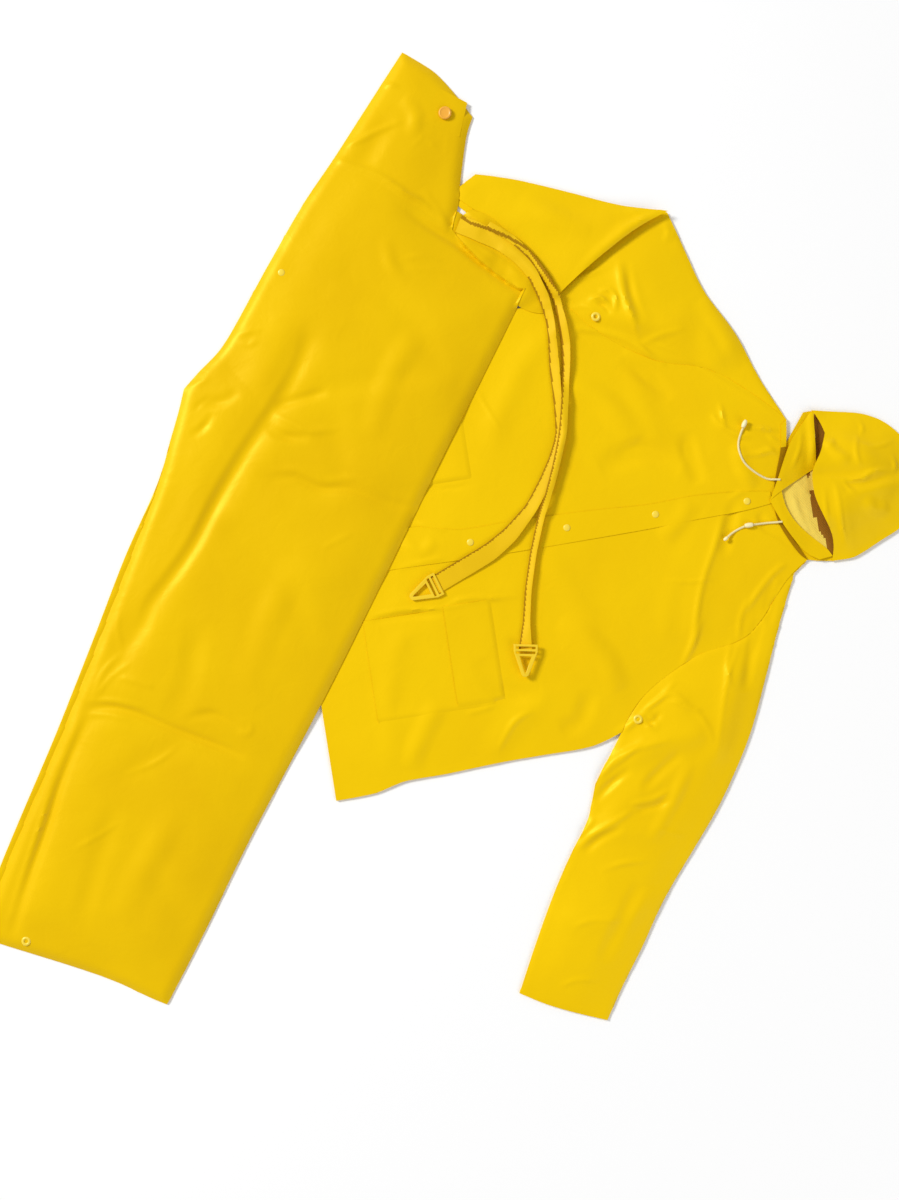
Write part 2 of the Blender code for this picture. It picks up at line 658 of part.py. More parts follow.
class Outlines:
    """The plan outline of every piece, worked out from the tables."""

    def __init__(self):
        upper_side = side_line(JACKET, JACKET_SIDE, "upper")
        lower_side = side_line(JACKET, JACKET_SIDE, "lower")
        upper_raglan = side_line(JACKET, RAGLAN, "upper")
        lower_raglan = side_line(JACKET, RAGLAN, "lower")
        neckline = edge(JACKET, NECKLINE)
        middle = min(range(len(neckline)), key=lambda index: self.off_middle(neckline[index]))
        opening = edge(JACKET, [
            Place(HEM_ALONG, FRONT_OPENING_ACROSS), Place(FRONT_OPENING_TOP, FRONT_OPENING_ACROSS),
        ])
        opening[-1] = neckline[middle]
        hem_upper = edge(JACKET, [JACKET_END_UPPER, Place(HEM_ALONG, FRONT_OPENING_ACROSS)])
        hem_lower = edge(JACKET, [Place(HEM_ALONG, FRONT_OPENING_ACROSS), JACKET_END_LOWER])
        self.back = closed(
            neckline, lower_raglan, lower_side, hem_lower[::-1], hem_upper[::-1], upper_side[::-1],
            upper_raglan[::-1],
        )
        self.front_right = closed(
            upper_raglan, upper_side, hem_upper, opening, neckline[:middle + 1][::-1]
        )
        self.front_left = closed(
            neckline[middle:], lower_raglan, lower_side, hem_lower[::-1], opening
        )
        self.placket = closed(
            side_line(JACKET, PLACKET, "upper"), side_line(JACKET, PLACKET, "lower")[::-1]
        )
        self.binding = closed(
            neckline,
            edge(JACKET, [
                Place(row.along + NECK_BINDING_WIDTH, NECK_BINDING_SHARE * row.across) for row in NECKLINE
            ])[::-1],
        )
        self.pockets = [self.patch(POCKET_ALONG, POCKET_ACROSS, side) for side in (-1, 1)]
        self.flaps = [self.patch(FLAP_ALONG, FLAP_ACROSS, side) for side in (-1, 1)]
        self.left_sleeve = closed(
            lower_raglan, edge(SLEEVE, SLEEVE_UNDER_EDGE), edge(SLEEVE, SLEEVE_CUFF),
            edge(SLEEVE, SLEEVE_OUTER_EDGE),
        )
        fold = edge(JACKET, RIGHT_FOLD_EDGE)
        self.right_sleeve = closed(
            edge(JACKET, RIGHT_OUTER_EDGE), fold, edge(JACKET, RIGHT_FOLD_END),
            edge(JACKET, RIGHT_UNDER_EDGE), upper_raglan[::-1],
        )
        self.turnback_outer = edge(JACKET, TURNBACK_OUTER_EDGE)
        self.turnback = closed(
            self.turnback_outer, fold, edge(JACKET, TURNBACK_END), edge(JACKET, TURNBACK_UNDER_EDGE)
        )
        hood_upper = edge(JACKET, HOOD_UPPER_EDGE)
        hood_lower = edge(JACKET, HOOD_LOWER_EDGE)
        self.hood_back = closed(hood_upper, hood_lower, neckline[::-1])
        mouth = edge(JACKET, HOOD_MOUTH)
        first = self.nearest(hood_upper, mouth[0])
        last = self.nearest(hood_lower, mouth[-1])
        mouth[0], mouth[-1] = hood_upper[first], hood_lower[last]
        self.hood_rim = hood_upper[first:] + hood_lower[1:last + 1]
        self.hood_shell = closed(self.hood_rim, mouth[::-1])
        self.upper_facing_edge = edge(JACKET, UPPER_FACING_EDGE, FACING_STEP)
        self.lower_facing_edge = edge(JACKET, LOWER_FACING_EDGE, FACING_STEP)
        self.upper_facing = closed(self.upper_facing_edge, edge(JACKET, UPPER_FACING_INNER))
        self.lower_facing = closed(self.lower_facing_edge, edge(JACKET, LOWER_FACING_INNER))
        bib_and_side = [
            edge(TROUSERS, CENTRE_FRONT), edge(TROUSERS, BIB_TOP), edge(TROUSERS, BIB_SIDE),
            edge(TROUSERS, BACK_WAIST), edge(TROUSERS, SIDE_FOLD), edge(TROUSERS, TROUSER_HEM),
        ]
        self.trousers = closed(edge(TROUSERS, INSEAM), *bib_and_side)
        spread = [
            Place(row.along, row.across + UNDER_LEG_SPREAD * smoothstep(
                (UNDER_LEG_TOP - row.along) / UNDER_LEG_BLEND
            ))
            for row in INSEAM
        ]
        self.under_leg = closed(edge(TROUSERS, spread), *bib_and_side)
        self.button_patch = TROUSERS.line(BUTTON_PATCH)
        self.back_panel = closed(edge(JACKET, BACK_PANEL_TOP), edge(JACKET, BACK_PANEL_LOWER))
        self.left_brace = self.strap_outline(LEFT_BRACE)
        self.right_brace = self.strap_outline(RIGHT_BRACE)

    @staticmethod
    def off_middle(point):
        """Return how far a plan point is from the jacket's front opening line."""
        return abs((point - JACKET.start).dot(JACKET.across) - FRONT_OPENING_ACROSS * MM)

    @staticmethod
    def nearest(line, point):
        """Return the index of the line's point nearest to another."""
        return min(range(len(line)), key=lambda index: (line[index] - point).length)

    @staticmethod
    def patch(along, across, side):
        """Return a four-cornered patch on one side of the jacket's middle line."""
        corners = [
            Place(along[0], across[0] * side), Place(along[1], across[0] * side),
            Place(along[1], across[1] * side), Place(along[0], across[1] * side),
        ]
        points = JACKET.line(corners)
        return points if side > 0 else points[::-1]

    @staticmethod
    def strap_outline(rows):
        """Return the plan outline of a strap from its middle line and half widths."""
        middle = curve_through([JACKET.point(row) for row in rows], STRAP_STEP)
        widths = curve_through([Vector((row.half_width * MM, 0.0)) for row in rows], 1.0)
        left = []
        right = []
        for index, point in enumerate(middle):
            before = middle[max(index - 1, 0)]
            after = middle[min(index + 1, len(middle) - 1)]
            run = (after - before).normalized()
            normal = Vector((-run.y, run.x))
            share = index * (len(widths) - 1) / (len(middle) - 1)
            width = widths[round(share)].x
            left.append(point + normal * width)
            right.append(point - normal * width)
        return left + right[::-1]

    def all(self):
        """Return every outline, for the plan map."""
        return [
            self.back, self.front_right, self.front_left, self.placket, self.binding, *self.pockets,
            *self.flaps, self.left_sleeve, self.right_sleeve, self.turnback, self.hood_back,
            self.hood_shell, self.upper_facing, self.lower_facing, self.under_leg, self.trousers,
            self.button_patch, self.back_panel, self.left_brace, self.right_brace,
        ]


def plan_centre(outlines):
    """Return the middle of the plan box round all outlines."""
    xs = [point.x for outline in outlines for point in outline]
    ys = [point.y for outline in outlines for point in outline]
    return Vector((0.5 * (min(xs) + max(xs)), 0.5 * (min(ys) + max(ys))))


def lay_jacket(pile, shape):
    """Lay the jacket's back, fronts, sleeves and what is sewn on them."""
    body_folds = fold_lines(JACKET, JACKET_FOLDS)
    left_folds = fold_lines(SLEEVE, LEFT_SLEEVE_FOLDS)
    right_folds = fold_lines(JACKET, RIGHT_SLEEVE_FOLDS)
    turnback_folds = fold_lines(JACKET, TURNBACK_FOLDS)
    first_layer = CLOTH + GAP

    def body(point):
        """Flat under the trousers, softly raised where it is free."""
        free = 0.0
        if not inside(point, shape.under_leg):
            free = smoothstep(distance_to_outline(point, shape.under_leg) / FLATTENED_REACH)
        return first_layer + free * relief(point, shape.back, JACKET_PUFF, JACKET_REACH, body_folds)

    def left_sleeve(point):
        """Puffed between its seams."""
        return first_layer + relief(point, shape.left_sleeve, SLEEVE_PUFF, SLEEVE_REACH, left_folds)

    def right_sleeve(point):
        """Flat under the part that is turned back, puffed beside it."""
        free = 0.0
        if not inside(point, shape.turnback):
            free = smoothstep(distance_to_outline(point, shape.turnback) / FLATTENED_REACH)
        rise = relief(point, shape.right_sleeve, SLEEVE_PUFF, SLEEVE_REACH, right_folds)
        return first_layer + free * rise

    def turnback(point):
        """Lifted along its outer edge."""
        to_edge = distance_to_line(point, shape.turnback_outer)
        lift = TURNBACK_LIFT * (1.0 - smoothstep(to_edge / TURNBACK_REACH))
        rise = relief(point, shape.turnback, 0.5 * SLEEVE_PUFF, SLEEVE_REACH, turnback_folds)
        return 2.0 * first_layer + lift + rise

    pile.lay("jacket_back", CLOTH_FINISH, shape.back, CLOTH)
    pile.lay("sleeve_left_under", CLOTH_FINISH, shape.left_sleeve, CLOTH)
    pile.lay("sleeve_right_under", CLOTH_FINISH, shape.right_sleeve, CLOTH)
    pile.lay("jacket_front_left", CLOTH_FINISH, shape.front_left, CLOTH, body)
    pile.lay("jacket_front_right", CLOTH_FINISH, shape.front_right, CLOTH, body)
    pile.lay("sleeve_left_upper", CLOTH_FINISH, shape.left_sleeve, CLOTH, left_sleeve)
    pile.lay("sleeve_right_upper", CLOTH_FINISH, shape.right_sleeve, CLOTH, right_sleeve)
    pile.lay("sleeve_right_turnback", CLOTH_FINISH, shape.turnback, CLOTH, turnback)
    for side, outline in zip(("right", "left"), shape.pockets):
        pile.lay(f"pocket_{side}", CLOTH_FINISH, outline, CLOTH)
    for side, outline in zip(("right", "left"), shape.flaps):
        pile.lay(f"pocket_flap_{side}", CLOTH_FINISH, outline, CLOTH)
    pile.lay("storm_flap", CLOTH_FINISH, shape.placket, CLOTH)
    pile.lay("neck_binding", CLOTH_FINISH, shape.binding, CLOTH)


def lay_hood(pile, shape):
    """Lay the hood: its back on the floor, the facings at the throat and the raised shell over them."""
    folds = fold_lines(JACKET, HOOD_FOLDS)

    def facing(edge_line):
        """Return the height of a facing that stands up along its free edge."""
        def height(point):
            """Highest at the free edge, lower towards the edge's ends."""
            away = distance_to_line(point, edge_line)
            to_tip = min((point - edge_line[0]).length, (point - edge_line[-1]).length)
            grown = (1.0 - FACING_TIP_SHARE) * smoothstep(to_tip / FACING_TIP_REACH)
            lift = FACING_LIFT * (FACING_TIP_SHARE + grown)
            return CLOTH + GAP + lift * (1.0 - smoothstep(away / FACING_REACH))
        return height

    def shell(point):
        """Up from the rim to the crown, with the raised folds."""
        away = distance_to_line(point, shape.hood_rim)
        rise = HOOD_RISE * smoothstep(away / HOOD_REACH)
        return CLOTH + GAP + rise + relief(point, shape.hood_shell, 0.0, HOOD_REACH, folds)

    def sunk_shell(point):
        """The shell with its lengthwise crease sunk below the crown."""
        height = shell(point)
        for fold in folds:
            away = distance_to_line(point, fold.places)
            if fold.height < 0.0 and away < fold.half_width:
                depth = smoothstep(distance_to_line(point, shape.hood_rim) / FOLD_TAPER)
                height += fold.height * depth * math.cos(0.5 * math.pi * away / fold.half_width) ** 2
        return height

    pile.lay("hood_back", REVERSE_FINISH, shape.hood_back, CLOTH)
    pile.lay("hood_facing_lower", CLOTH_FINISH, shape.lower_facing, CLOTH, facing(shape.lower_facing_edge))
    pile.lay(
        "hood_facing_upper", CLOTH_FINISH, shape.upper_facing, CLOTH, facing(shape.upper_facing_edge),
        apart_from=[shape.lower_facing],
    )
    pile.lay("hood_shell", CLOTH_FINISH, shape.hood_shell, CLOTH, sunk_shell)


def lay_trousers(pile, shape):
    """Lay the folded trousers: one rounded solid of hidden layers, stepped at its edge, and the front."""
    folds = fold_lines(TROUSERS, TROUSER_FOLDS)
    stack = 2.0 * (CLOTH + GAP)

    def over_hem(point):
        """The trousers come down from the jacket to the floor past its hem."""
        if inside(point, shape.back):
            return stack
        return stack * (1.0 - smoothstep(distance_to_outline(point, shape.back) / HEM_RAMP))

    def hidden(point):
        """Thick and rounded under the front, thin where the under leg shows past it."""
        if not inside(point, shape.trousers) and distance_to_outline(point, shape.trousers) > MM:
            return LEDGE_HEIGHT
        return HIDDEN_LAYERS + relief(point, shape.trousers, TROUSER_PUFF, TROUSER_REACH, folds)

    pile.lay(
        "trousers_folded_layers", TROUSER_FINISH, shape.under_leg, HIDDEN_LAYERS, over_hem, top=hidden,
    )
    pile.lay("trousers_front", TROUSER_FINISH, shape.trousers, CLOTH)
    pile.lay("button_patch", TROUSER_FINISH, shape.button_patch, CLOTH)

    panel_folds = fold_lines(JACKET, BACK_PANEL_FOLDS)

    def back_panel(point):
        """Softly raised over whatever it crosses."""
        rise = relief(point, shape.back_panel, BACK_PANEL_PUFF, FOLD_TAPER, panel_folds)
        return pile.height_at(point) + GAP + rise if rise > 0.0 else 0.0

    pile.lay(
        "trousers_back_panel", TROUSER_FINISH, shape.back_panel, CLOTH, back_panel,
        apart_from=[shape.under_leg], clearance=WEBBING_GAP,
    )


def lay_braces(pile, shape):
    """Lay the two braces, tilted where they show narrow, and set a clip on the end of each."""
    for name, rows, outline, turn in (
        ("left", LEFT_BRACE, shape.left_brace, LEFT_CLIP_TURN),
        ("right", RIGHT_BRACE, shape.right_brace, RIGHT_CLIP_TURN),
    ):
        middle = curve_through([JACKET.point(row) for row in rows], STRAP_STEP)
        half = len(outline) // 2
        left_edge = outline[:half]
        right_edge = outline[half:][::-1]

        def tilted(point):
            """Higher towards the left edge, the more the narrower the strap shows."""
            nearest = min(range(half), key=lambda index: (middle[index] - point).length)
            width = (left_edge[nearest] - right_edge[nearest]).length
            standing = math.sqrt(max(WEBBING_WIDTH ** 2 - width ** 2, 0.0)) * WEBBING_TILT
            to_right = distance_to_line(point, right_edge)
            return pile.height_at(point) + GAP + standing * min(to_right / width, 1.0)

        pile.lay(
            f"brace_{name}", WEBBING_FINISH, outline, WEBBING, tilted, apart_from=[shape.under_leg],
            clearance=WEBBING_GAP,
        )
        make_clip(pile, f"brace_clip_{name}", JACKET.point(rows[-1]), turn)


def clip_outline(bar, nose, length):
    """Return a triangular clip's outline, from its bar at x = 0 to its round nose."""
    shoulder = CLIP_SHOULDER * length
    outline = [Vector((0.0, -0.5 * bar)), Vector((shoulder, -0.5 * bar))]
    for turn in (-60, -40, -20, 0, 20, 40, 60):
        angle = math.radians(turn)
        centre = length - 0.5 * nose
        outline.append(Vector((centre + 0.5 * nose * math.cos(angle), 0.5 * nose * math.sin(angle))))
    outline += [Vector((shoulder, 0.5 * bar)), Vector((0.0, 0.5 * bar))]
    return outline


def make_clip(pile, name, end, turn):
    """Make a brace's clip, a triangular frame with two strap slots and a buttonhole."""
    direction = JACKET.along * math.cos(math.radians(turn)) + JACKET.across * math.sin(math.radians(turn))
    side = Vector((-direction.y, direction.x))
    start = end - direction * (CLIP_SLOT + 2.0 * CLIP_RIM)

    def placed(points):
        """Return clip points in the plan."""
        return [start + direction * point.x + side * point.y - pile.centre for point in points]

    shares = [index / (CLIP_PROBES - 1) for index in range(CLIP_PROBES)]
    seat = GAP + max(
        pile.height_at(start + direction * CLIP_LENGTH * u + side * CLIP_BAR * (v - 0.5))
        for u in shares for v in shares
    )
    outline = placed(clip_outline(CLIP_BAR, CLIP_NOSE, CLIP_LENGTH))
    body = prism(name, outline, seat, seat + CLIP_THICKNESS, CLIP_FINISH)
    half = 0.5 * CLIP_BAR - CLIP_RIM
    cutters = []
    for index in range(2):
        near = CLIP_RIM + index * (CLIP_SLOT + CLIP_RIM)
        cutters.append([
            Vector((near, -half)), Vector((near + CLIP_SLOT, -half)),
            Vector((near + CLIP_SLOT, half)), Vector((near, half)),
        ])
    base = 3.0 * CLIP_RIM + 2.0 * CLIP_SLOT
    nose = CLIP_LENGTH - 1.4 * CLIP_RIM
    wide = CLIP_HOLE_SHARE * half
    cutters.append([
        Vector((base, -wide)), Vector((nose - CLIP_RIM, -0.5 * CLIP_RIM)),
        Vector((nose, 0.0)), Vector((nose - CLIP_RIM, 0.5 * CLIP_RIM)), Vector((base, wide)),
    ])
    for index, outline in enumerate(cutters):
        cutter = prism(f"{name}_cutter_{index}", placed(outline), seat - MM, seat + CLIP_THICKNESS + MM,
                       CLIP_FINISH)
        cutter.hide_render = True
        cutter.display_type = "WIRE"
        cut = body.modifiers.new(f"slot_{index}", "BOOLEAN")
        cut.operation = "DIFFERENCE"
        cut.solver = "EXACT"
        cut.object = cutter


def set_fasteners(pile):
    """Set the press snaps, vent eyelets and buttons on what carries them."""
    sets = [("press_snap", SNAP_PROFILE, 14, JACKET, SNAP_PLACES, SNAP_FINISH),
            ("vent_eyelet", EYELET_PROFILE, 16, JACKET, EYELET_PLACES, SNAP_FINISH),
            ("bib_button", BUTTON_PROFILE, 18, TROUSERS, [BIB_BUTTON_PLACE], BUTTON_FINISH),
            ("fly_snap", SNAP_PROFILE, 14, TROUSERS, [FLY_SNAP_PLACE], SNAP_FINISH),
            ("ankle_snap", EYELET_PROFILE, 16, TROUSERS, [ANKLE_SNAP_PLACE], SNAP_FINISH)]
    for name, rows, steps, frame, places, finish in sets:
        profile = [(radius * MM, level * MM) for radius, level in rows]
        reach = max(radius for radius, level in profile)
        for number, place in enumerate(places, start=1):
            label = f"{name}_{number}" if len(places) > 1 else name
            point = frame.point(place)
            seat = pile.height(point, reach) + GAP
            turned(label, finish, profile, steps, point - pile.centre, seat)


def cord_route(pile, places):
    """Return a cord's middle line, lying on the pile."""
    flat = curve_through([JACKET.point(place) for place in places], CORD_STEP)
    radius = 0.5 * CORD_DIAMETER
    levels = [pile.height(point, CORD_STEP) + radius + CORD_CLEARANCE for point in flat]
    return [(point - pile.centre).to_3d() + Vector((0.0, 0.0, level)) for point, level in zip(flat, levels)]


def make_cord(name, route):
    """Make a round cord along its route."""
    data = bpy.data.curves.new(name, "CURVE")
    data.dimensions = "3D"
    spline = data.splines.new("POLY")
    spline.points.add(len(route) - 1)
    for target, point in zip(spline.points, route):
        target.co = (*point, 1.0)
    data.bevel_depth = 0.5 * CORD_DIAMETER
    data.bevel_resolution = 2
    data.use_fill_caps = True
    data.materials.append(make_material(CORD_FINISH))
    made = bpy.data.objects.new(name, data)
    bpy.context.collection.objects.link(made)
    return made


def set_cord_fitting(name, ends, level, profile):
    """Set a turned fitting along a cord, between two places, at the cord's height."""
    start, end = ends
    direction = Vector((end.x - start.x, end.y - start.y, 0.0)).normalized()
    turned(name, BEAD_FINISH, profile, 12, start, level, axis=direction)


def make_cords(pile):
    """Make the two drawcord ends with the toggle, the bead and the end knob on them."""
    upper = cord_route(pile, UPPER_CORD)
    lower = cord_route(pile, LOWER_CORD)
    bead_start, bead_end = [JACKET.point(place) - pile.centre for place in BEAD_PLACES]
    bead_radius = BEAD_RADIUS
    bore = 0.5 * CORD_DIAMETER + 2.0 * GAP
    length = (bead_end - bead_start).length
    run = (bead_end - bead_start).normalized()
    bead_middle = 0.5 * (bead_start + bead_end)
    bead_level = pile.height(bead_middle + pile.centre, length) + bead_radius + GAP
    for point in lower:
        share = (point.to_2d() - bead_middle).dot(run)
        if abs(share) < 0.5 * length + CORD_STEP:
            threaded = bead_middle + run * share
            point.x, point.y, point.z = threaded.x, threaded.y, bead_level
    make_cord("drawcord_upper", upper)
    make_cord("drawcord_lower", lower)
    bead = [
        (bore, 0.0), (bead_radius * 0.75, 0.0), (bead_radius, 0.3 * length),
        (bead_radius, 0.7 * length), (bead_radius * 0.75, length), (bore, length),
    ]
    set_cord_fitting("drawcord_bead", (bead_start, bead_end), bead_level, bead)
    for name, ends, route, radius in (
        ("drawcord_toggle", TOGGLE_PLACES, upper, BEAD_RADIUS),
        ("drawcord_end_knob", END_KNOB_PLACES, lower, KNOB_RADIUS),
    ):
        tip = route[-1]
        run = (tip - route[-2]).normalized()
        finish = tip.to_2d() + run.to_2d() * (JACKET.point(ends[1]) - JACKET.point(ends[0])).length
        start = tip.to_2d() + run.to_2d() * GAP
        reach = (finish - start).length
        level = max(tip.z, pile.height(start + pile.centre, reach) + radius + GAP)
        profile = [(0.0, 0.0), (0.7 * radius, 0.0), (radius, 0.35 * reach), (0.9 * radius, 0.75 * reach),
                   (0.5 * radius, reach), (0.0, reach)]
        set_cord_fitting(name, (start, finish), level, profile)


def build():
    """Clear the scene and build the whole suit."""
    for old in list(bpy.data.objects):
        bpy.data.objects.remove(old, do_unlink=True)
    shape = Outlines()
    outlines = shape.all()
    plan = PlanMap()
    for outline in outlines:
        plan.add_line(outline, is_closed=True)
    for frame, folds in (
        (JACKET, JACKET_FOLDS + RIGHT_SLEEVE_FOLDS + TURNBACK_FOLDS + HOOD_FOLDS + BACK_PANEL_FOLDS),
        (SLEEVE, LEFT_SLEEVE_FOLDS),
        (TROUSERS, TROUSER_FOLDS),
    ):
        for fold in fold_lines(frame, folds):
            plan.add_fold(fold)
    plan.fill(outlines)
    pile = Pile(plan, plan_centre(outlines))
    lay_jacket(pile, shape)
    lay_hood(pile, shape)
    lay_trousers(pile, shape)
    lay_braces(pile, shape)
    set_fasteners(pile)
    make_cords(pile)


build()
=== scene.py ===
import logging
import math
from dataclasses import dataclass, field
from enum import Enum
from typing import Sequence, Union

import bmesh
import bpy
import numpy as np
from mathutils import Matrix, Vector, noise
from mathutils.bvhtree import BVHTree


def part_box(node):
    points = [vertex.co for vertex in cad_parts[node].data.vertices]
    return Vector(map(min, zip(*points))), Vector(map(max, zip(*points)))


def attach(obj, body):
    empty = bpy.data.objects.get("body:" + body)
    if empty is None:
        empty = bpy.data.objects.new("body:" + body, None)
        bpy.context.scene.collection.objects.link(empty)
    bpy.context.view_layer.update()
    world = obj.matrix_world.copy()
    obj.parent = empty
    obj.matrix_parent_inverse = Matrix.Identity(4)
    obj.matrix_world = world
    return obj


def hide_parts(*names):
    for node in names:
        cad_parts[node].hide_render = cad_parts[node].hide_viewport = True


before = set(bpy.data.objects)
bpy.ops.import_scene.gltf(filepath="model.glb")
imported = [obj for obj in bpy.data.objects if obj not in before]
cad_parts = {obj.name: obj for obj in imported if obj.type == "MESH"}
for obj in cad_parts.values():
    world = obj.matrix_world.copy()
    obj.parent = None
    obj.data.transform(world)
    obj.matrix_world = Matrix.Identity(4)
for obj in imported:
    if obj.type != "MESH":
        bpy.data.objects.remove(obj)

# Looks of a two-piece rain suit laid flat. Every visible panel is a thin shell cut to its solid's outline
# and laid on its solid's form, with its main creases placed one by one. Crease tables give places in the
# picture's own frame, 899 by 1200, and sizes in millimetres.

LOG = logging.getLogger("rain_suit")
MM = 0.001
CREASE_GAIN = 1.9
RIM_FADE = 5.0
ROLL_DROP = 0.8
GROWN_DROP = 2.5
FLUSH_REACH = 4.0

Colour = tuple[float, float, float]
Spot = tuple[float, float]
Number = Union[float, "Value"]


@dataclass(frozen=True)
class PlanView:
    """Where places in the picture are on the floor plan."""

    middle_x: float = 452.5
    middle_y: float = 536.5
    scale: float = 0.00142
    shift_x: float = 0.00398
    shift_y: float = -0.00021

    def at(self, spot: Spot) -> Vector:
        """Return the plan point of a place in the picture.

        Args:
            spot: Place in the picture, from its upper left corner.

        Returns:
            The point on the plan, in metres.
        """
        x = (spot[0] - self.middle_x) * self.scale + self.shift_x
        y = (self.middle_y - spot[1]) * self.scale + self.shift_y
        return Vector((x, y))


PLAN = PlanView()


class Value:
    """A number that varies over a surface, as the output of a shader node."""

    def __init__(self, tree: "ShaderTree", socket: bpy.types.NodeSocket) -> None:
        """Keep the tree and the socket."""
        self.tree = tree
        self.socket = socket

    def _math(self, operation: str, first: Number, second: Number) -> "Value":
        """Add a Math node to the tree.

        Args:
            operation: The Math node's operation.
            first: Its first value.
            second: Its second value.

        Returns:
            The node's result.
        """
        return self.tree.add("ShaderNodeMath", {"operation": operation}, {0: first, 1: second})

    def __add__(self, other: Number) -> "Value":
        """Return the sum."""
        return self._math("ADD", self, other)

    __radd__ = __add__

    def __sub__(self, other: Number) -> "Value":
        """Return the difference."""
        return self._math("SUBTRACT", self, other)

    def __rsub__(self, other: Number) -> "Value":
        """Return the reversed difference."""
        return self._math("SUBTRACT", other, self)

    def __mul__(self, other: Number) -> "Value":
        """Return the product."""
        return self._math("MULTIPLY", self, other)

    __rmul__ = __mul__

    def __pow__(self, other: Number) -> "Value":
        """Return the power."""
        return self._math("POWER", self, other)


class ShaderTree:
    """A material's nodes, with one method that adds any of them."""

    def __init__(self, name: str) -> None:
        """Make the material with its Principled shader.

        Args:
            name: The material's name.
        """
        self.material = bpy.data.materials.new(name)
        self.material.use_nodes = True
        self.nodes = self.material.node_tree.nodes
        self.links = self.material.node_tree.links
        self.shader = self.nodes["Principled BSDF"]

    def add(
        self, kind: str, settings: dict[str, object], inputs: dict[object, object], output: object = 0
    ) -> Value:
        """Add a node, set it and join its sockets.

        Args:
            kind: The node's type.
            settings: Properties, set before the sockets are used.
            inputs: Values or other results for its sockets, by name or place.
            output: The output that is wanted, by name or place.

        Returns:
            The wanted output as a value.
        """
        node = self.nodes.new(kind)
        for key, value in settings.items():
            setattr(node, key, value)
        for key, value in inputs.items():
            self.join(value, node.inputs[key])
        return Value(self, node.outputs[output])

    def join(self, value: object, socket: bpy.types.NodeSocket) -> None:
        """Link a result to a socket, or set a plain number or colour on it."""
        if isinstance(value, Value):
            self.links.new(value.socket, socket)
        else:
            socket.default_value = value

    def coordinates(self) -> Value:
        """Return the object's own coordinates."""
        return self.add("ShaderNodeTexCoord", {}, {}, "Object")

    def grain(self, scale: float, detail: float, roughness: float = 0.5, distortion: float = 0.0) -> Value:
        """Return soft noise over the surface.

        Args:
            scale: How many blotches a metre has.
            detail: How many finer octaves are in it.
            roughness: How strong the finer octaves are.
            distortion: How far it is bent.

        Returns:
            The noise, about 0 to 1.
        """
        return self.add(
            "ShaderNodeTexNoise", {"noise_dimensions": "3D"},
            {"Vector": self.coordinates(), "Scale": scale, "Detail": detail, "Roughness": roughness,
             "Distortion": distortion},
        )

    def blend(self, share: Number, first: Colour, second: Colour) -> Value:
        """Return a colour between two.

        Args:
            share: How much of the second colour there is.
            first: The first colour.
            second: The second colour.

        Returns:
            The mixed colour.
        """
        node = self.nodes.new("ShaderNodeMix")
        node.data_type = "RGBA"
        self.join(share, node.inputs[0])
        node.inputs[6].default_value = (*first, 1.0)
        node.inputs[7].default_value = (*second, 1.0)
        return Value(self, node.outputs[2])

    def bump(self, height: Value, distance: float, strength: float = 1.0) -> Value:
        """Return a normal bent by a height."""
        return self.add(
            "ShaderNodeBump", {}, {"Height": height, "Distance": distance, "Strength": strength}, "Normal"
        )

    def set(self, **constants: object) -> None:
        """Set the shader's own sockets. An underscore in a name stands for a space.

        Args:
            constants: Values or results by socket name.
        """
        for key, value in constants.items():
            self.join(value, self.shader.inputs[key.replace("_", " ")])


@dataclass(frozen=True)
class CoatedCloth:
    """Smooth waterproof coating on cloth: satin, with a fine grain and faint clouding."""

    name: str
    colour: Colour
    deep: Colour
    roughness: float = 0.36
    wrinkle: float = 1.0

    def build(self) -> bpy.types.Material:
        """Return the material."""
        tree = ShaderTree(self.name)
        cloud = tree.grain(7.0, 3.0)
        share = (cloud - 0.35) * 1.6
        tree.set(
            Base_Color=tree.blend(share, self.colour, self.deep),
            Roughness=(tree.grain(40.0, 2.0) * 0.10) + (self.roughness - 0.05),
            Specular_Tint=(1.0, 0.80, 0.10, 1.0),
            Specular_IOR_Level=0.38,
            Normal=tree.bump(
                tree.grain(34.0, 3.0, 0.5, 0.6) * 0.55 * self.wrinkle + tree.grain(1500.0, 1.0) * 0.012,
                0.0011,
            ),
        )
        return tree.material


@dataclass(frozen=True)
class ClothReverse:
    """Pale knitted backing of the coated cloth, rough with a fine rib."""

    name: str
    colour: Colour
    deep: Colour
    roughness: float = 0.72

    def build(self) -> bpy.types.Material:
        """Return the material."""
        tree = ShaderTree(self.name)
        ribs = tree.add(
            "ShaderNodeTexWave", {"wave_type": "BANDS", "bands_direction": "DIAGONAL"},
            {"Vector": tree.coordinates(), "Scale": 180.0, "Distortion": 0.6}, "Fac",
        )
        tree.set(
            Base_Color=tree.blend(tree.grain(22.0, 3.0), self.colour, self.deep),
            Roughness=self.roughness,
            Specular_IOR_Level=0.3,
            Normal=tree.bump(ribs * 0.3 + tree.grain(60.0, 3.0) * 1.2, 0.0009),
        )
        return tree.material


@dataclass(frozen=True)
class Webbing:
    """Woven elastic strap with a fine matte weave."""

    name: str
    colour: Colour
    deep: Colour
    roughness: float = 0.55

    def build(self) -> bpy.types.Material:
        """Return the material."""
        tree = ShaderTree(self.name)
        tree.set(
            Base_Color=tree.blend(tree.grain(16.0, 2.0), self.colour, self.deep),
            Roughness=self.roughness,
            Specular_Tint=(1.0, 0.82, 0.3, 1.0),
            Specular_IOR_Level=0.35,
            Normal=tree.bump(tree.grain(900.0, 1.0), 0.0001),
        )
        return tree.material


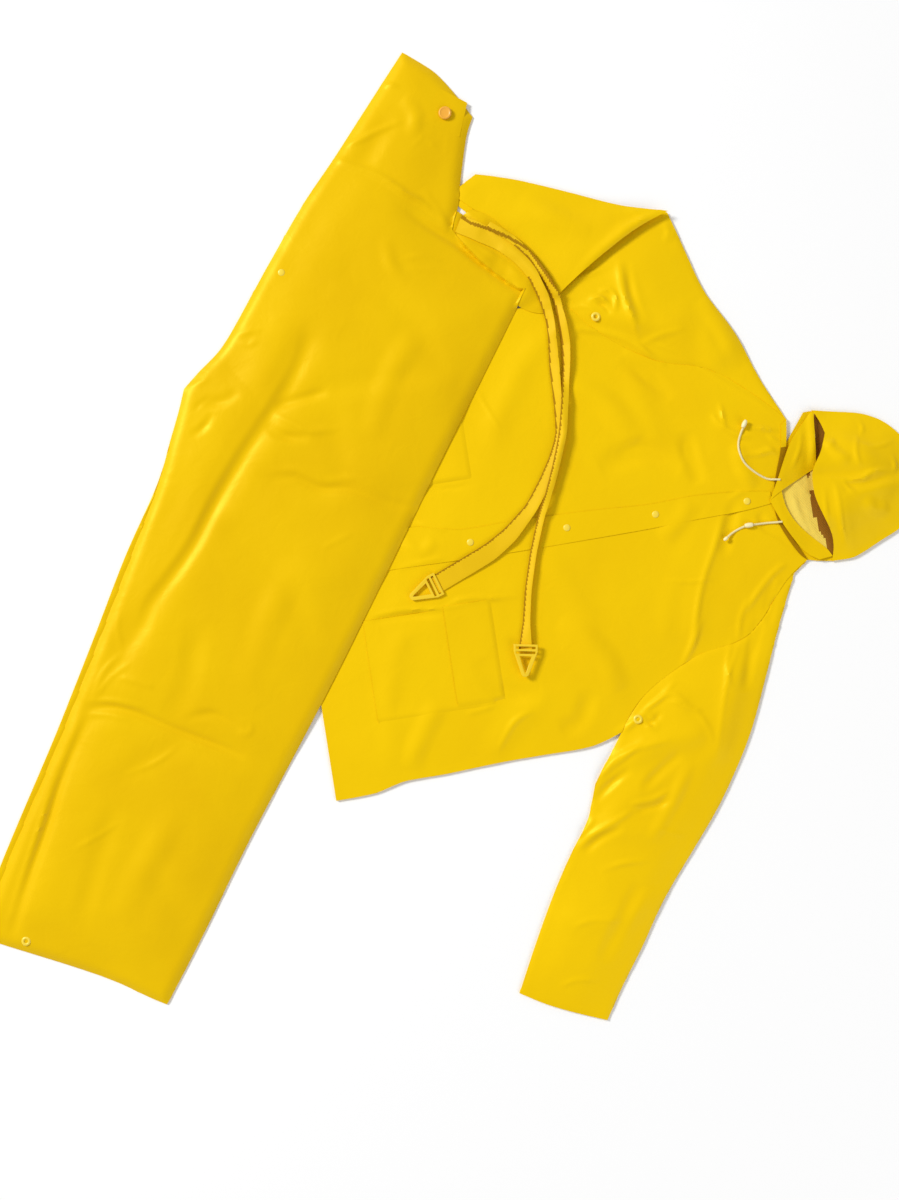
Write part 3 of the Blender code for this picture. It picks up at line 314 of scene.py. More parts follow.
@dataclass(frozen=True)
class MouldedPlastic:
    """Moulded plastic, glossy or matte, with a faint skin."""

    name: str
    colour: Colour
    roughness: float

    def build(self) -> bpy.types.Material:
        """Return the material."""
        tree = ShaderTree(self.name)
        tree.set(
            Base_Color=(*self.colour, 1.0),
            Roughness=(tree.grain(300.0, 2.0) * 0.08) + (self.roughness - 0.04),
            Specular_IOR_Level=0.5,
            Normal=tree.bump(tree.grain(700.0, 1.0), 0.00004),
        )
        return tree.material


@dataclass(frozen=True)
class BraidedCord:
    """Round braided cord, matte with crossing strands."""

    name: str
    colour: Colour
    deep: Colour

    def build(self) -> bpy.types.Material:
        """Return the material."""
        tree = ShaderTree(self.name)
        strand = tree.add(
            "ShaderNodeTexWave", {"wave_type": "BANDS", "bands_direction": "DIAGONAL"},
            {"Vector": tree.coordinates(), "Scale": 260.0, "Distortion": 1.5}, "Fac",
        )
        tree.set(
            Base_Color=tree.blend(strand * 0.6, self.colour, self.deep),
            Roughness=0.8,
            Specular_IOR_Level=0.25,
            Normal=tree.bump(strand, 0.0002),
        )
        return tree.material


@dataclass(frozen=True)
class PaintedFloor:
    """Plain pale floor."""

    name: str
    colour: Colour

    def build(self) -> bpy.types.Material:
        """Return the material."""
        tree = ShaderTree(self.name)
        tree.set(Base_Color=(*self.colour, 1.0), Roughness=0.9, Specular_IOR_Level=0.1)
        return tree.material


Finish = Union[CoatedCloth, ClothReverse, Webbing, MouldedPlastic, BraidedCord, PaintedFloor]

JACKET_CLOTH = CoatedCloth("jacket_coated_cloth", (0.86, 0.555, 0.002), (0.82, 0.510, 0.002))
TROUSER_CLOTH = CoatedCloth("trouser_coated_cloth", (0.805, 0.507, 0.002), (0.75, 0.447, 0.002))
REVERSE = ClothReverse("cloth_reverse", (0.92, 0.72, 0.13), (0.84, 0.58, 0.06))
# Painted shade: dark brown for the hood's deep hollow and for the band under the shell's rim, where shade falls.
PAINTED_HOLLOW_SHADE = ClothReverse("hood_hollow_painted_shade", (0.33, 0.135, 0.002), (0.26, 0.10, 0.002))
# Painted shade: dark brown on the neck binding, for the shade between the jacket's neck and the hood.
PAINTED_NECK_SHADE = CoatedCloth("neck_binding_cloth", (0.36, 0.175, 0.002), (0.30, 0.14, 0.002))
STRAP = Webbing("elastic_webbing", (0.82, 0.520, 0.003), (0.76, 0.46, 0.003))
# Painted shade: a dark brown strip along the straps' edges and a band beside them, standing in for the shadow of their
# folded edges.
PAINTED_EDGE_SHADE = Webbing("webbing_painted_edge_shade", (0.40, 0.20, 0.001), (0.32, 0.15, 0.001), 0.8)
CLIP = MouldedPlastic("clip_plastic", (0.86, 0.58, 0.012), 0.28)
SNAP = MouldedPlastic("snap_plastic", (0.90, 0.66, 0.05), 0.34)
BUTTON = MouldedPlastic("button_plastic", (0.86, 0.40, 0.035), 0.38)
IVORY = MouldedPlastic("cord_fitting", (0.90, 0.80, 0.45), 0.42)
CORD = BraidedCord("drawcord", (0.88, 0.78, 0.42), (0.70, 0.55, 0.20))
THREAD = MouldedPlastic("sewing_thread", (0.72, 0.44, 0.006), 0.7)
FLOOR = PaintedFloor("pale_floor", (0.95, 0.95, 0.95))


class FinishShelf:
    """Every finish's material, built once."""

    def __init__(self) -> None:
        """Start with an empty shelf."""
        self.made: dict[str, bpy.types.Material] = {}

    def take(self, finish: Finish) -> bpy.types.Material:
        """Return a finish's material.

        Args:
            finish: The finish that is wanted.

        Returns:
            Its material, built at its first use.
        """
        if finish.name not in self.made:
            self.made[finish.name] = finish.build()
        return self.made[finish.name]


SHELF = FinishShelf()


class CreaseForm(Enum):
    """How a crease's cross-section runs."""

    CREST = "sharp in the middle, with hollow flanks"
    SWELL = "round in the middle"
    STEP = "one side stands higher, as where a seam's layers lie"


@dataclass(frozen=True)
class Crease:
    """One crease, with its path in the picture and its half width and height in millimetres."""

    path: tuple[Spot, ...]
    half_width: float
    height: float
    form: CreaseForm = CreaseForm.CREST

    def line(self) -> np.ndarray:
        """Return the crease's path on the plan, as points about 8 mm apart."""
        points = [PLAN.at(spot) for spot in self.path]
        made: list[Vector] = []
        last = len(points) - 1
        for index in range(last):
            before = points[max(index - 1, 0)]
            start, end = points[index], points[index + 1]
            after = points[min(index + 2, last)]
            pieces = max(1, math.ceil((end - start).length / 0.008))
            for piece in range(pieces):
                t = piece / pieces
                made.append(0.5 * (
                    2.0 * start + (end - before) * t
                    + (2.0 * before - 5.0 * start + 4.0 * end - after) * t * t
                    + (3.0 * start - before - 3.0 * end + after) * t * t * t
                ))
        made.append(points[last])
        return np.array([(point.x, point.y) for point in made])

    def lift(self, places: np.ndarray) -> np.ndarray:
        """Return how far the crease lifts the cloth.

        Args:
            places: Plan points, one a row.

        Returns:
            The lift at each point, in metres, below zero where the crease sinks.
        """
        line = self.line()
        width = self.half_width * MM
        reach = width * (7.0 if self.form is CreaseForm.STEP else 1.0)
        near = np.all((places > line.min(0) - reach) & (places < line.max(0) + reach), axis=1)
        result = np.zeros(len(places))
        if not near.any():
            return result
        away, side, share = nearest_on_line(places[near], line)
        taper = np.clip(np.sin(math.pi * np.clip(share, 0.0, 1.0)), 0.0, 1.0) ** 0.7
        taper *= 0.85 + 0.15 * np.sin(9.0 * share + self.path[0][0])
        u = np.clip(away / width, 0.0, 1.0)
        if self.form is CreaseForm.CREST:
            profile = (1.0 - u) ** 1.7
        elif self.form is CreaseForm.SWELL:
            profile = np.cos(0.5 * math.pi * u) ** 2
        else:
            ramp = np.clip(side / width + 0.5, 0.0, 1.0)
            fade = np.clip(1.0 - away / reach, 0.0, 1.0)
            profile = ramp * ramp * (3.0 - 2.0 * ramp) * fade * fade
        result[near] = self.height * MM * taper * profile
        return result


def nearest_on_line(places: np.ndarray, line: np.ndarray) -> tuple[np.ndarray, np.ndarray, np.ndarray]:
    """Measure plan points against a line.

    Args:
        places: Plan points, one a row.
        line: Points of the line, one a row.

    Returns:
        For each place how far the line is, the same with a sign for its side, and how far along the line
        it is as a share of the line's length.
    """
    best = np.full(len(places), np.inf)
    side = np.zeros(len(places))
    share = np.zeros(len(places))
    lengths = np.linalg.norm(np.diff(line, axis=0), axis=1)
    total = max(lengths.sum(), 1e-9)
    walked = 0.0
    for start, end, length in zip(line[:-1], line[1:], lengths):
        if length < 1e-9:
            continue
        run = (end - start) / length
        offset = places - start
        along = np.clip(offset @ run, 0.0, length)
        foot = start + along[:, None] * run
        gap = np.linalg.norm(places - foot, axis=1)
        closer = gap < best
        cross = run[0] * offset[:, 1] - run[1] * offset[:, 0]
        best[closer] = gap[closer]
        side[closer] = np.sign(cross[closer]) * gap[closer]
        share[closer] = (walked + along[closer]) / total
        walked += length
    return best, side, share


def crest(half_width: float, height: float, *path: Spot) -> Crease:
    """Return a sharp crease."""
    return Crease(path, half_width, height, CreaseForm.CREST)


def swell(half_width: float, height: float, *path: Spot) -> Crease:
    """Return a round crease."""
    return Crease(path, half_width, height, CreaseForm.SWELL)


def step(half_width: float, height: float, *path: Spot) -> Crease:
    """Return a crease with one higher side."""
    return Crease(path, half_width, height, CreaseForm.STEP)


TROUSER_CREASES = (
    crest(8, 3.2, (335, 158), (348, 166), (371, 174), (388, 183), (405, 195), (422, 204), (452, 231)),
    swell(9, -2.6, (407, 212), (422, 224), (445, 238), (471, 255), (520, 290)),
    crest(7, 2.2, (398, 201), (424, 217), (448, 231), (476, 249), (518, 283)),
    crest(6, 1.6, (422, 192), (432, 203), (440, 214), (450, 230)),
    swell(16, -1.7, (310, 335), (297, 372), (279, 404), (265, 424), (246, 452), (219, 498), (196, 544),
          (171, 579), (153, 602), (143, 628), (122, 654)),
    crest(14, 1.1, (303, 330), (291, 366), (271, 400), (256, 424), (237, 452), (210, 498), (186, 544),
          (162, 578), (145, 600), (136, 626)),
    swell(11, -2.2, (277, 408), (302, 400), (329, 393)),
    crest(9, 1.8, (272, 414), (292, 424), (312, 432), (340, 430)),
    swell(11, -2.4, (267, 426), (284, 437), (310, 440)),
    swell(9, -1.8, (268, 480), (294, 478), (321, 489), (350, 490), (384, 503), (416, 508)),
    crest(8, 1.3, (270, 472), (297, 470), (324, 481), (352, 480), (388, 494), (414, 503)),
    crest(6, 1.1, (344, 474), (352, 478), (366, 482)),
    crest(6, 0.9, (322, 549), (338, 541), (354, 534)),
    crest(2.6, -0.9, (226, 363), (243, 382), (260, 400)),
    crest(5, 1.2, (236, 337), (250, 333), (263, 332)),
    crest(4, 1.0, (240, 344), (251, 346), (259, 341)),
    crest(4, 1.1, (184, 387), (197, 385), (211, 379)),
    crest(4, -1.1, (193, 413), (203, 403), (213, 396)),
    swell(8, -1.5, (192, 437), (206, 427), (214, 414)),
    swell(12, -1.6, (240, 392), (225, 402), (204, 404)),
    swell(9, -2.6, (88, 708), (113, 707), (136, 712), (160, 722), (182, 731), (216, 744), (246, 756)),
    crest(5, 1.9, (86, 701), (108, 700), (130, 703), (146, 708)),
    crest(5, 1.5, (88, 714), (110, 714), (132, 720)),
    crest(6, 1.3, (119, 677), (138, 681), (156, 687)),
    swell(10, -1.7, (186, 718), (211, 713), (228, 720), (243, 731)),
    crest(5, 1.3, (128, 773), (148, 766), (165, 757), (181, 744)),
    crest(5, 1.1, (180, 740), (210, 748), (232, 758), (250, 762)),
    crest(5, 1.5, (124, 652), (106, 670), (97, 690), (92, 700)),
    crest(4, 1.3, (133, 662), (112, 678), (99, 694), (93, 702)),
    crest(4, 1.2, (120, 612), (119, 632), (124, 652)),
    swell(12, -2.8, (92, 714), (80, 737), (68, 764), (58, 792), (50, 822), (36, 862), (24, 900), (12, 940)),
    crest(7, 1.8, (84, 712), (72, 742), (56, 784), (42, 824), (26, 872), (10, 922)),
    crest(5, 1.1, (120, 822), (98, 836), (76, 848)),
    crest(6, 1.0, (240, 718), (252, 722), (250, 733), (238, 730)),
    crest(4, 1.8, (381, 86), (392, 87), (400, 90)),
    crest(6, 2.1, (346, 147), (362, 141), (380, 132), (402, 124)),
    crest(3, 0.9, (426, 136), (419, 143), (411, 151)),
    crest(3, 0.9, (424, 137), (432, 146), (441, 153)),
    crest(3, 0.7, (448, 134), (447, 148), (445, 162)),
    swell(16, 1.8, (404, 100), (416, 118), (412, 140)),
    swell(22, -1.6, (392, 120), (372, 152), (360, 172)),
    swell(26, 2.0, (420, 330), (390, 380), (372, 440)),
    swell(30, 1.8, (300, 560), (270, 620), (246, 690)),
    swell(26, -1.6, (200, 620), (190, 680), (170, 720)),
    swell(30, 2.0, (180, 800), (150, 860), (120, 920)),
    swell(22, -1.2, (120, 800), (100, 860), (80, 930)),
    swell(14, 1.4, (386, 240), (392, 268), (410, 284)),
    crest(5, 1.0, (400, 262), (420, 258), (444, 266)),
    crest(5, 0.9, (404, 272), (424, 271), (452, 274)),
)

JACKET_CREASES = (
    crest(8, 2.2, (572, 327), (604, 333), (633, 344), (656, 361)),
    crest(6, 1.4, (634, 343), (650, 356), (666, 366)),
    swell(8, -1.6, (572, 335), (600, 342), (626, 353)),
    step(3, -1.2, (634, 340), (664, 347), (695, 363), (726, 383), (755, 400), (779, 419)),
    crest(8, 1.6, (563, 296), (576, 281), (596, 272), (614, 266)),
    crest(5, 3.2, (588, 303), (594, 299), (602, 300), (611, 312)),
    crest(5, 3.0, (598, 293), (608, 291), (615, 298), (614, 314)),
    swell(5, -2.4, (596, 305), (604, 306), (609, 315)),
    crest(5, 1.2, (568, 310), (586, 307), (600, 318)),
    crest(6, 1.8, (711, 414), (720, 426), (737, 436), (750, 438)),
    crest(5, 1.4, (719, 403), (722, 418), (724, 430)),
    crest(5, 1.8, (744, 427), (762, 429), (779, 431)),
    crest(4, 1.6, (766, 436), (774, 441), (783, 446)),
    crest(6, 1.5, (736, 455), (755, 455), (773, 449)),
    crest(4, 1.3, (764, 447), (772, 452), (780, 456)),
    swell(16, 1.6, (736, 444), (742, 470), (756, 486)),
    swell(18, -1.6, (684, 432), (690, 458), (700, 484)),
    crest(7, 1.5, (723, 512), (714, 545), (704, 575), (698, 600), (692, 640), (682, 664)),
    swell(14, -1.5, (735, 500), (728, 530), (722, 556)),
    crest(5, 1.2, (726, 502), (738, 494), (752, 492)),
    swell(9, -2.2, (760, 512), (764, 526), (782, 536), (802, 554)),
    crest(6, 1.7, (786, 563), (772, 574), (757, 593), (745, 612)),
    crest(5, 1.3, (779, 578), (770, 598), (764, 622)),
    crest(5, 1.2, (748, 598), (740, 618), (738, 640)),
    swell(10, -2.0, (776, 582), (770, 602), (768, 624)),
    crest(4, 0.8, (664, 580), (690, 582), (714, 578)),
    crest(5, 1.2, (370, 617), (403, 610), (445, 608), (482, 600), (520, 595)),
    swell(8, -1.2, (372, 622), (404, 616), (444, 614)),
    crest(5, 1.6, (444, 607), (460, 600), (482, 597), (500, 599)),
    crest(6, 1.3, (498, 750), (511, 726), (520, 717), (533, 710)),
    crest(5, 0.9, (466, 714), (480, 710), (496, 705)),
    crest(5, 1.0, (612, 740), (630, 726), (644, 716)),
    crest(6, 2.2, (614, 734), (632, 722), (647, 713), (658, 729)),
    crest(5, 2.0, (640, 713), (656, 701), (668, 694), (676, 695), (691, 708)),
    swell(6, -2.0, (640, 722), (652, 722), (660, 712)),
    crest(6, 1.4, (642, 712), (660, 697), (676, 680)),
    crest(6, 1.4, (681, 667), (692, 646), (701, 618)),
    crest(5, 1.2, (414, 522), (431, 527), (448, 531)),
    crest(5, 1.1, (397, 569), (427, 561), (448, 558)),
    crest(3, -0.8, (430, 483), (436, 488), (450, 489), (474, 485)),
    swell(14, 1.4, (402, 540), (420, 552), (436, 540)),
    crest(4, 0.7, (476, 390), (490, 414), (500, 430)),
    swell(26, 1.8, (560, 380), (600, 400), (640, 440)),
    swell(26, -1.8, (600, 470), (640, 452), (680, 470)),
    swell(24, 1.6, (560, 620), (600, 650), (620, 690)),
    swell(24, -1.5, (480, 660), (500, 690), (540, 700)),
    swell(20, 1.4, (660, 540), (680, 520), (690, 500)),
    swell(18, -1.3, (620, 360), (650, 380), (670, 400)),
    swell(22, 1.4, (440, 700), (420, 740), (410, 770)),
    swell(20, -1.2, (560, 730), (580, 720), (590, 690)),
)

SLEEVE_CREASES = (
    crest(8, 2.4, (589, 795), (600, 775), (620, 755), (644, 745), (670, 739)),
    swell(9, -2.4, (594, 802), (608, 786), (630, 768)),
    crest(7, 2.4, (577, 850), (589, 836), (604, 826), (618, 818), (632, 809)),
    swell(8, -1.8, (584, 852), (600, 838), (622, 826)),
    crest(6, 2.2, (629, 803), (640, 801), (652, 798), (670, 789)),
    swell(7, -1.6, (636, 810), (654, 806), (672, 798)),
    crest(5, 1.0, (649, 825), (666, 830), (683, 836)),
    crest(4, 2.2, (578, 838), (586, 828), (594, 818)),
    crest(5, 2.0, (665, 700), (676, 702), (685, 707), (701, 711)),
    crest(4, 2.4, (643, 716), (646, 724), (656, 731)),
    crest(6, 1.6, (600, 777), (622, 758), (646, 737)),
    swell(12, -1.8, (640, 790), (660, 770), (680, 752)),
    crest(6, 1.2, (690, 708), (704, 722), (712, 742)),
    swell(14, 1.6, (690, 760), (672, 800), (650, 840)),
    crest(6, 1.4, (600, 870), (622, 862), (648, 860)),
    crest(6, 1.2, (572, 925), (594, 918), (620, 920)),
    swell(16, -1.4, (640, 880), (620, 920), (600, 960)),
    crest(5, 1.1, (560, 985), (578, 978), (598, 980)),
    crest(6, 1.4, (740, 640), (728, 672), (722, 704), (716, 752)),
    crest(6, 1.6, (731, 640), (726, 668), (730, 690)),
    swell(12, -2.0, (760, 620), (750, 655), (744, 690)),
)

RIGHT_SLEEVE_CREASES = (
    crest(7, 2.2, (618, 262), (622, 294), (634, 328), (637, 342)),
    swell(9, -1.8, (626, 262), (630, 292), (641, 324)),
    step(3, 1.2, (634, 342), (664, 349), (695, 365), (726, 385), (755, 402), (779, 421)),
    crest(6, 1.2, (640, 345), (660, 336), (684, 330)),
    crest(6, 1.3, (661, 224), (668, 230), (664, 244)),
    swell(18, 1.8, (700, 300), (720, 330), (740, 366)),
    crest(4, 1.0, (668, 243), (673, 234), (676, 228)),
)

TURNBACK_CREASES = (
    crest(6, 1.6, (616, 234), (630, 226), (648, 219)),
    crest(5, 1.2, (560, 294), (574, 281), (592, 268)),
    crest(5, 0.9, (606, 240), (618, 228), (630, 220)),
    swell(24, 1.6, (520, 200), (560, 222), (590, 236)),
    crest(3, 0.7, (484, 178), (500, 181), (520, 185)),
    crest(5, 1.0, (614, 214), (640, 214), (656, 214)),
    swell(15, 3.0, (574, 284), (600, 255), (625, 235), (645, 223), (664, 215), (676, 213)),
    crest(4, -1.4, (640, 218), (652, 213), (664, 210)),
    crest(3, 1.0, (628, 208), (633, 213), (640, 215)),
)

FACING_CREASES = (
    swell(16, 4.6, (812, 404), (814, 424), (816, 446), (815, 470)),
    crest(5, 1.2, (800, 432), (798, 450), (790, 470)),
)

INNER_CREASES = (
    crest(4, 1.4, (795, 484), (804, 490), (813, 500)),
    crest(3, 1.2, (792, 500), (801, 505), (811, 513)),
    swell(7, 1.6, (790, 490), (797, 510), (808, 532)),
    crest(3, 1.2, (805, 515), (812, 527), (820, 542)),
    crest(3, 1.1, (800, 470), (806, 480), (808, 492)),
)

HOOD_CREASES = (
    crest(6, 2.6, (813, 478), (833, 481), (857, 479), (868, 473), (880, 471), (897, 470)),
    swell(10, -2.4, (838, 489), (858, 486), (880, 480), (898, 478)),
    crest(5, 1.8, (831, 484), (834, 500), (838, 524), (845, 545)),
    crest(4, 1.6, (838, 480), (844, 489), (852, 494)),
    crest(5, 1.6, (855, 436), (852, 452), (856, 468)),
    crest(5, 1.4, (856, 444), (866, 448), (880, 446), (892, 440)),
    crest(4, 1.4, (858, 420), (861, 430), (857, 438)),
    swell(12, 2.0, (824, 440), (832, 454), (846, 462)),
    crest(5, 1.2, (818, 440), (826, 446), (832, 440)),
    crest(5, 1.3, (820, 488), (822, 510), (826, 530)),
    crest(5, 1.5, (889, 456), (893, 466), (890, 474)),
    swell(14, 1.6, (860, 500), (874, 510), (886, 506)),
)

PANEL_CREASES = (
    crest(4, 1.6, (462, 220), (474, 230), (492, 240), (512, 252)),
    crest(3, 1.2, (466, 212), (478, 222), (496, 232)),
    crest(4, 1.4, (470, 244), (492, 256), (510, 268), (522, 280)),
)


class Layers:
    """The cloth laid so far, to keep what is laid later above it."""

    def __init__(self) -> None:
        """Start with the bare floor."""
        self.trees: list[tuple[BVHTree, Vector, Vector]] = []

    def add(self, mesh: bmesh.types.BMesh) -> None:
        """Add a laid sheet's upper side.

        Args:
            mesh: The sheet's upper side, in place.
        """
        xs = [vert.co.x for vert in mesh.verts]
        ys = [vert.co.y for vert in mesh.verts]
        low, high = Vector((min(xs), min(ys))), Vector((max(xs), max(ys)))
        self.trees.append((BVHTree.FromBMesh(mesh), low, high))

    def top(self, x: float, y: float) -> float:
        """Return how high the laid cloth is at a plan point.

        Args:
            x: The point's first coordinate.
            y: The point's second coordinate.

        Returns:
            The height, or zero where nothing lies.
        """
        best = 0.0
        for tree, low, high in self.trees:
            if low.x <= x <= high.x and low.y <= y <= high.y:
                hit = tree.ray_cast(Vector((x, y, 1.0)), Vector((0.0, 0.0, -1.0)))[0]
                if hit is not None:
                    best = max(best, hit.z)
        return best


LAYERS = Layers()


def cad_top(node: str) -> bmesh.types.BMesh:
    """Return the upper side of a cloth solid.

    Args:
        node: The solid's name.

    Returns:
        A mesh of the faces that look up.
    """
    mesh = bmesh.new()
    mesh.from_mesh(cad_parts[node].data)
    bmesh.ops.remove_doubles(mesh, verts=mesh.verts, dist=0.00002)
    mesh.normal_update()
    bmesh.ops.delete(mesh, geom=[face for face in mesh.faces if face.normal.z < 0.15], context="FACES")
    bmesh.ops.triangulate(mesh, faces=mesh.faces)
    return mesh


def rim_of(mesh: bmesh.types.BMesh) -> list[Vector]:
    """Return a sheet's longest rim, in order, on the plan.

    Args:
        mesh: The sheet, its faces looking up.

    Returns:
        The rim's points, anticlockwise.
    """
    following = {}
    for edge in mesh.edges:
        if edge.is_boundary:
            loop = edge.link_loops[0]
            following.setdefault(loop.vert, loop.link_loop_next.vert)
    longest: list[Vector] = []
    while following:
        start = next(iter(following))
        walked = []
        vert = start
        while vert in following:
            walked.append(vert.co.to_2d())
            vert = following.pop(vert)
        if len(walked) > len(longest):
            longest = walked
    return longest


def rounded(rim: list[Vector], gap: float, passes: int) -> list[Vector]:
    """Round a rim's facets off and keep its corners.

    Args:
        rim: The rim's points.
        gap: The longest stretch between two points of the result.
        passes: How often the points are averaged.

    Returns:
        The rounded rim.
    """
    points: list[Vector] = []
    pinned: list[bool] = []
    count = len(rim)
    for index, point in enumerate(rim):
        before = (point - rim[index - 1])
        after = (rim[(index + 1) % count] - point)
        is_corner = before.length > 1e-6 and after.length > 1e-6 and before.angle(after) > math.radians(24)
        pieces = max(1, math.ceil(after.length / gap))
        for piece in range(pieces):
            points.append(point + after * (piece / pieces))
            pinned.append(is_corner and piece == 0)
    for _ in range(passes):
        points = [
            point if pinned[index] else
            0.5 * point + 0.25 * (points[index - 1] + points[(index + 1) % len(points)])
            for index, point in enumerate(points)
        ]
    kept = [points[0]]
    for point in points[1:]:
        if (point - kept[-1]).length > 0.0006:
            kept.append(point)
    return kept


def grown(outline: list[Vector], reach: float) -> list[Vector]:
    """Move an outline outwards.

    Args:
        outline: The outline's points, anticlockwise.
        reach: How far each point moves.

    Returns:
        The wider outline.
    """
    moved = []
    for index, point in enumerate(outline):
        run = (outline[(index + 1) % len(outline)] - outline[index - 1]).normalized()
        moved.append(point + Vector((run.y, -run.x)) * reach)
    return moved if reach else outline


def band(path: Sequence[Spot], width: float) -> tuple[Spot, ...]:
    """Return the ring of a strip along a path.

    Args:
        path: The strip's middle line in the picture.
        width: Its width in picture elements.

    Returns:
        The ring's points in the picture.
    """
    sides: list[list[Spot]] = [[], []]
    for index, point in enumerate(path):
        before, after = path[max(index - 1, 0)], path[min(index + 1, len(path) - 1)]
        run = Vector((after[0] - before[0], after[1] - before[1])).normalized() * 0.5 * width
        sides[0].append((point[0] - run.y, point[1] + run.x))
        sides[1].append((point[0] + run.y, point[1] - run.x))
    return tuple(sides[0] + sides[1][::-1])


def inside(place: Vector, ring: Sequence[Vector]) -> bool:
    """Return whether a plan point lies in a ring.

    Args:
        place: The plan point.
        ring: The ring's points.

    Returns:
        True where it does.
    """
    within = False
    for index, start in enumerate(ring):
        end = ring[index - 1]
        if (start.y > place.y) != (end.y > place.y):
            if place.x < start.x + (end.x - start.x) * (place.y - start.y) / (end.y - start.y):
                within = not within
    return within


def meshed(outline: list[Vector], turn: float, cell: float) -> bmesh.types.BMesh:
    """Fill an outline with an even grid of faces.

    Args:
        outline: The outline's points, anticlockwise.
        turn: Direction of the grid, in degrees.
        cell: Size of a grid cell.

    Returns:
        A flat mesh whose faces look up.
    """
    mesh = bmesh.new()
    mesh.faces.new([mesh.verts.new((point.x, point.y, 0.0)) for point in outline])
    angle = math.radians(turn)
    for direction in (Vector((math.cos(angle), math.sin(angle), 0.0)),
                      Vector((-math.sin(angle), math.cos(angle), 0.0))):
        spans = [vert.co.dot(direction) for vert in mesh.verts]
        low, high = min(spans), max(spans)
        count = max(2, math.ceil((high - low) / cell))
        for index in range(1, count):
            bmesh.ops.bisect_plane(
                mesh, geom=mesh.verts[:] + mesh.edges[:] + mesh.faces[:], dist=0.00002,
                plane_co=direction * (low + (high - low) * index / count), plane_no=direction,
            )
    bmesh.ops.dissolve_degenerate(mesh, dist=0.0003, edges=mesh.edges)
    mesh.normal_update()
    flipped = [face for face in mesh.faces if face.normal.z < 0.0]
    bmesh.ops.reverse_faces(mesh, faces=flipped)
    return mesh


def shown(mesh: bmesh.types.BMesh, name: str, finishes: Sequence[Finish], sharp: float = 45.0) -> bpy.types.Object:
    """Turn a mesh into an object of the suit.

    Args:
        mesh: The mesh, in place.
        name: The object's name.
        finishes: Its finishes, the first on every face that names no other.
        sharp: Angle above which an edge stays sharp, in degrees.

    Returns:
        The object, which rides on the suit.
    """
    data = bpy.data.meshes.new(name)
    mesh.to_mesh(data)
    mesh.free()
    for finish in finishes:
        data.materials.append(SHELF.take(finish))
    data.shade_smooth()
    data.set_sharp_from_angle(angle=math.radians(sharp))
    made = bpy.data.objects.new(name, data)
    bpy.context.scene.collection.objects.link(made)
    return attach(made, "root")


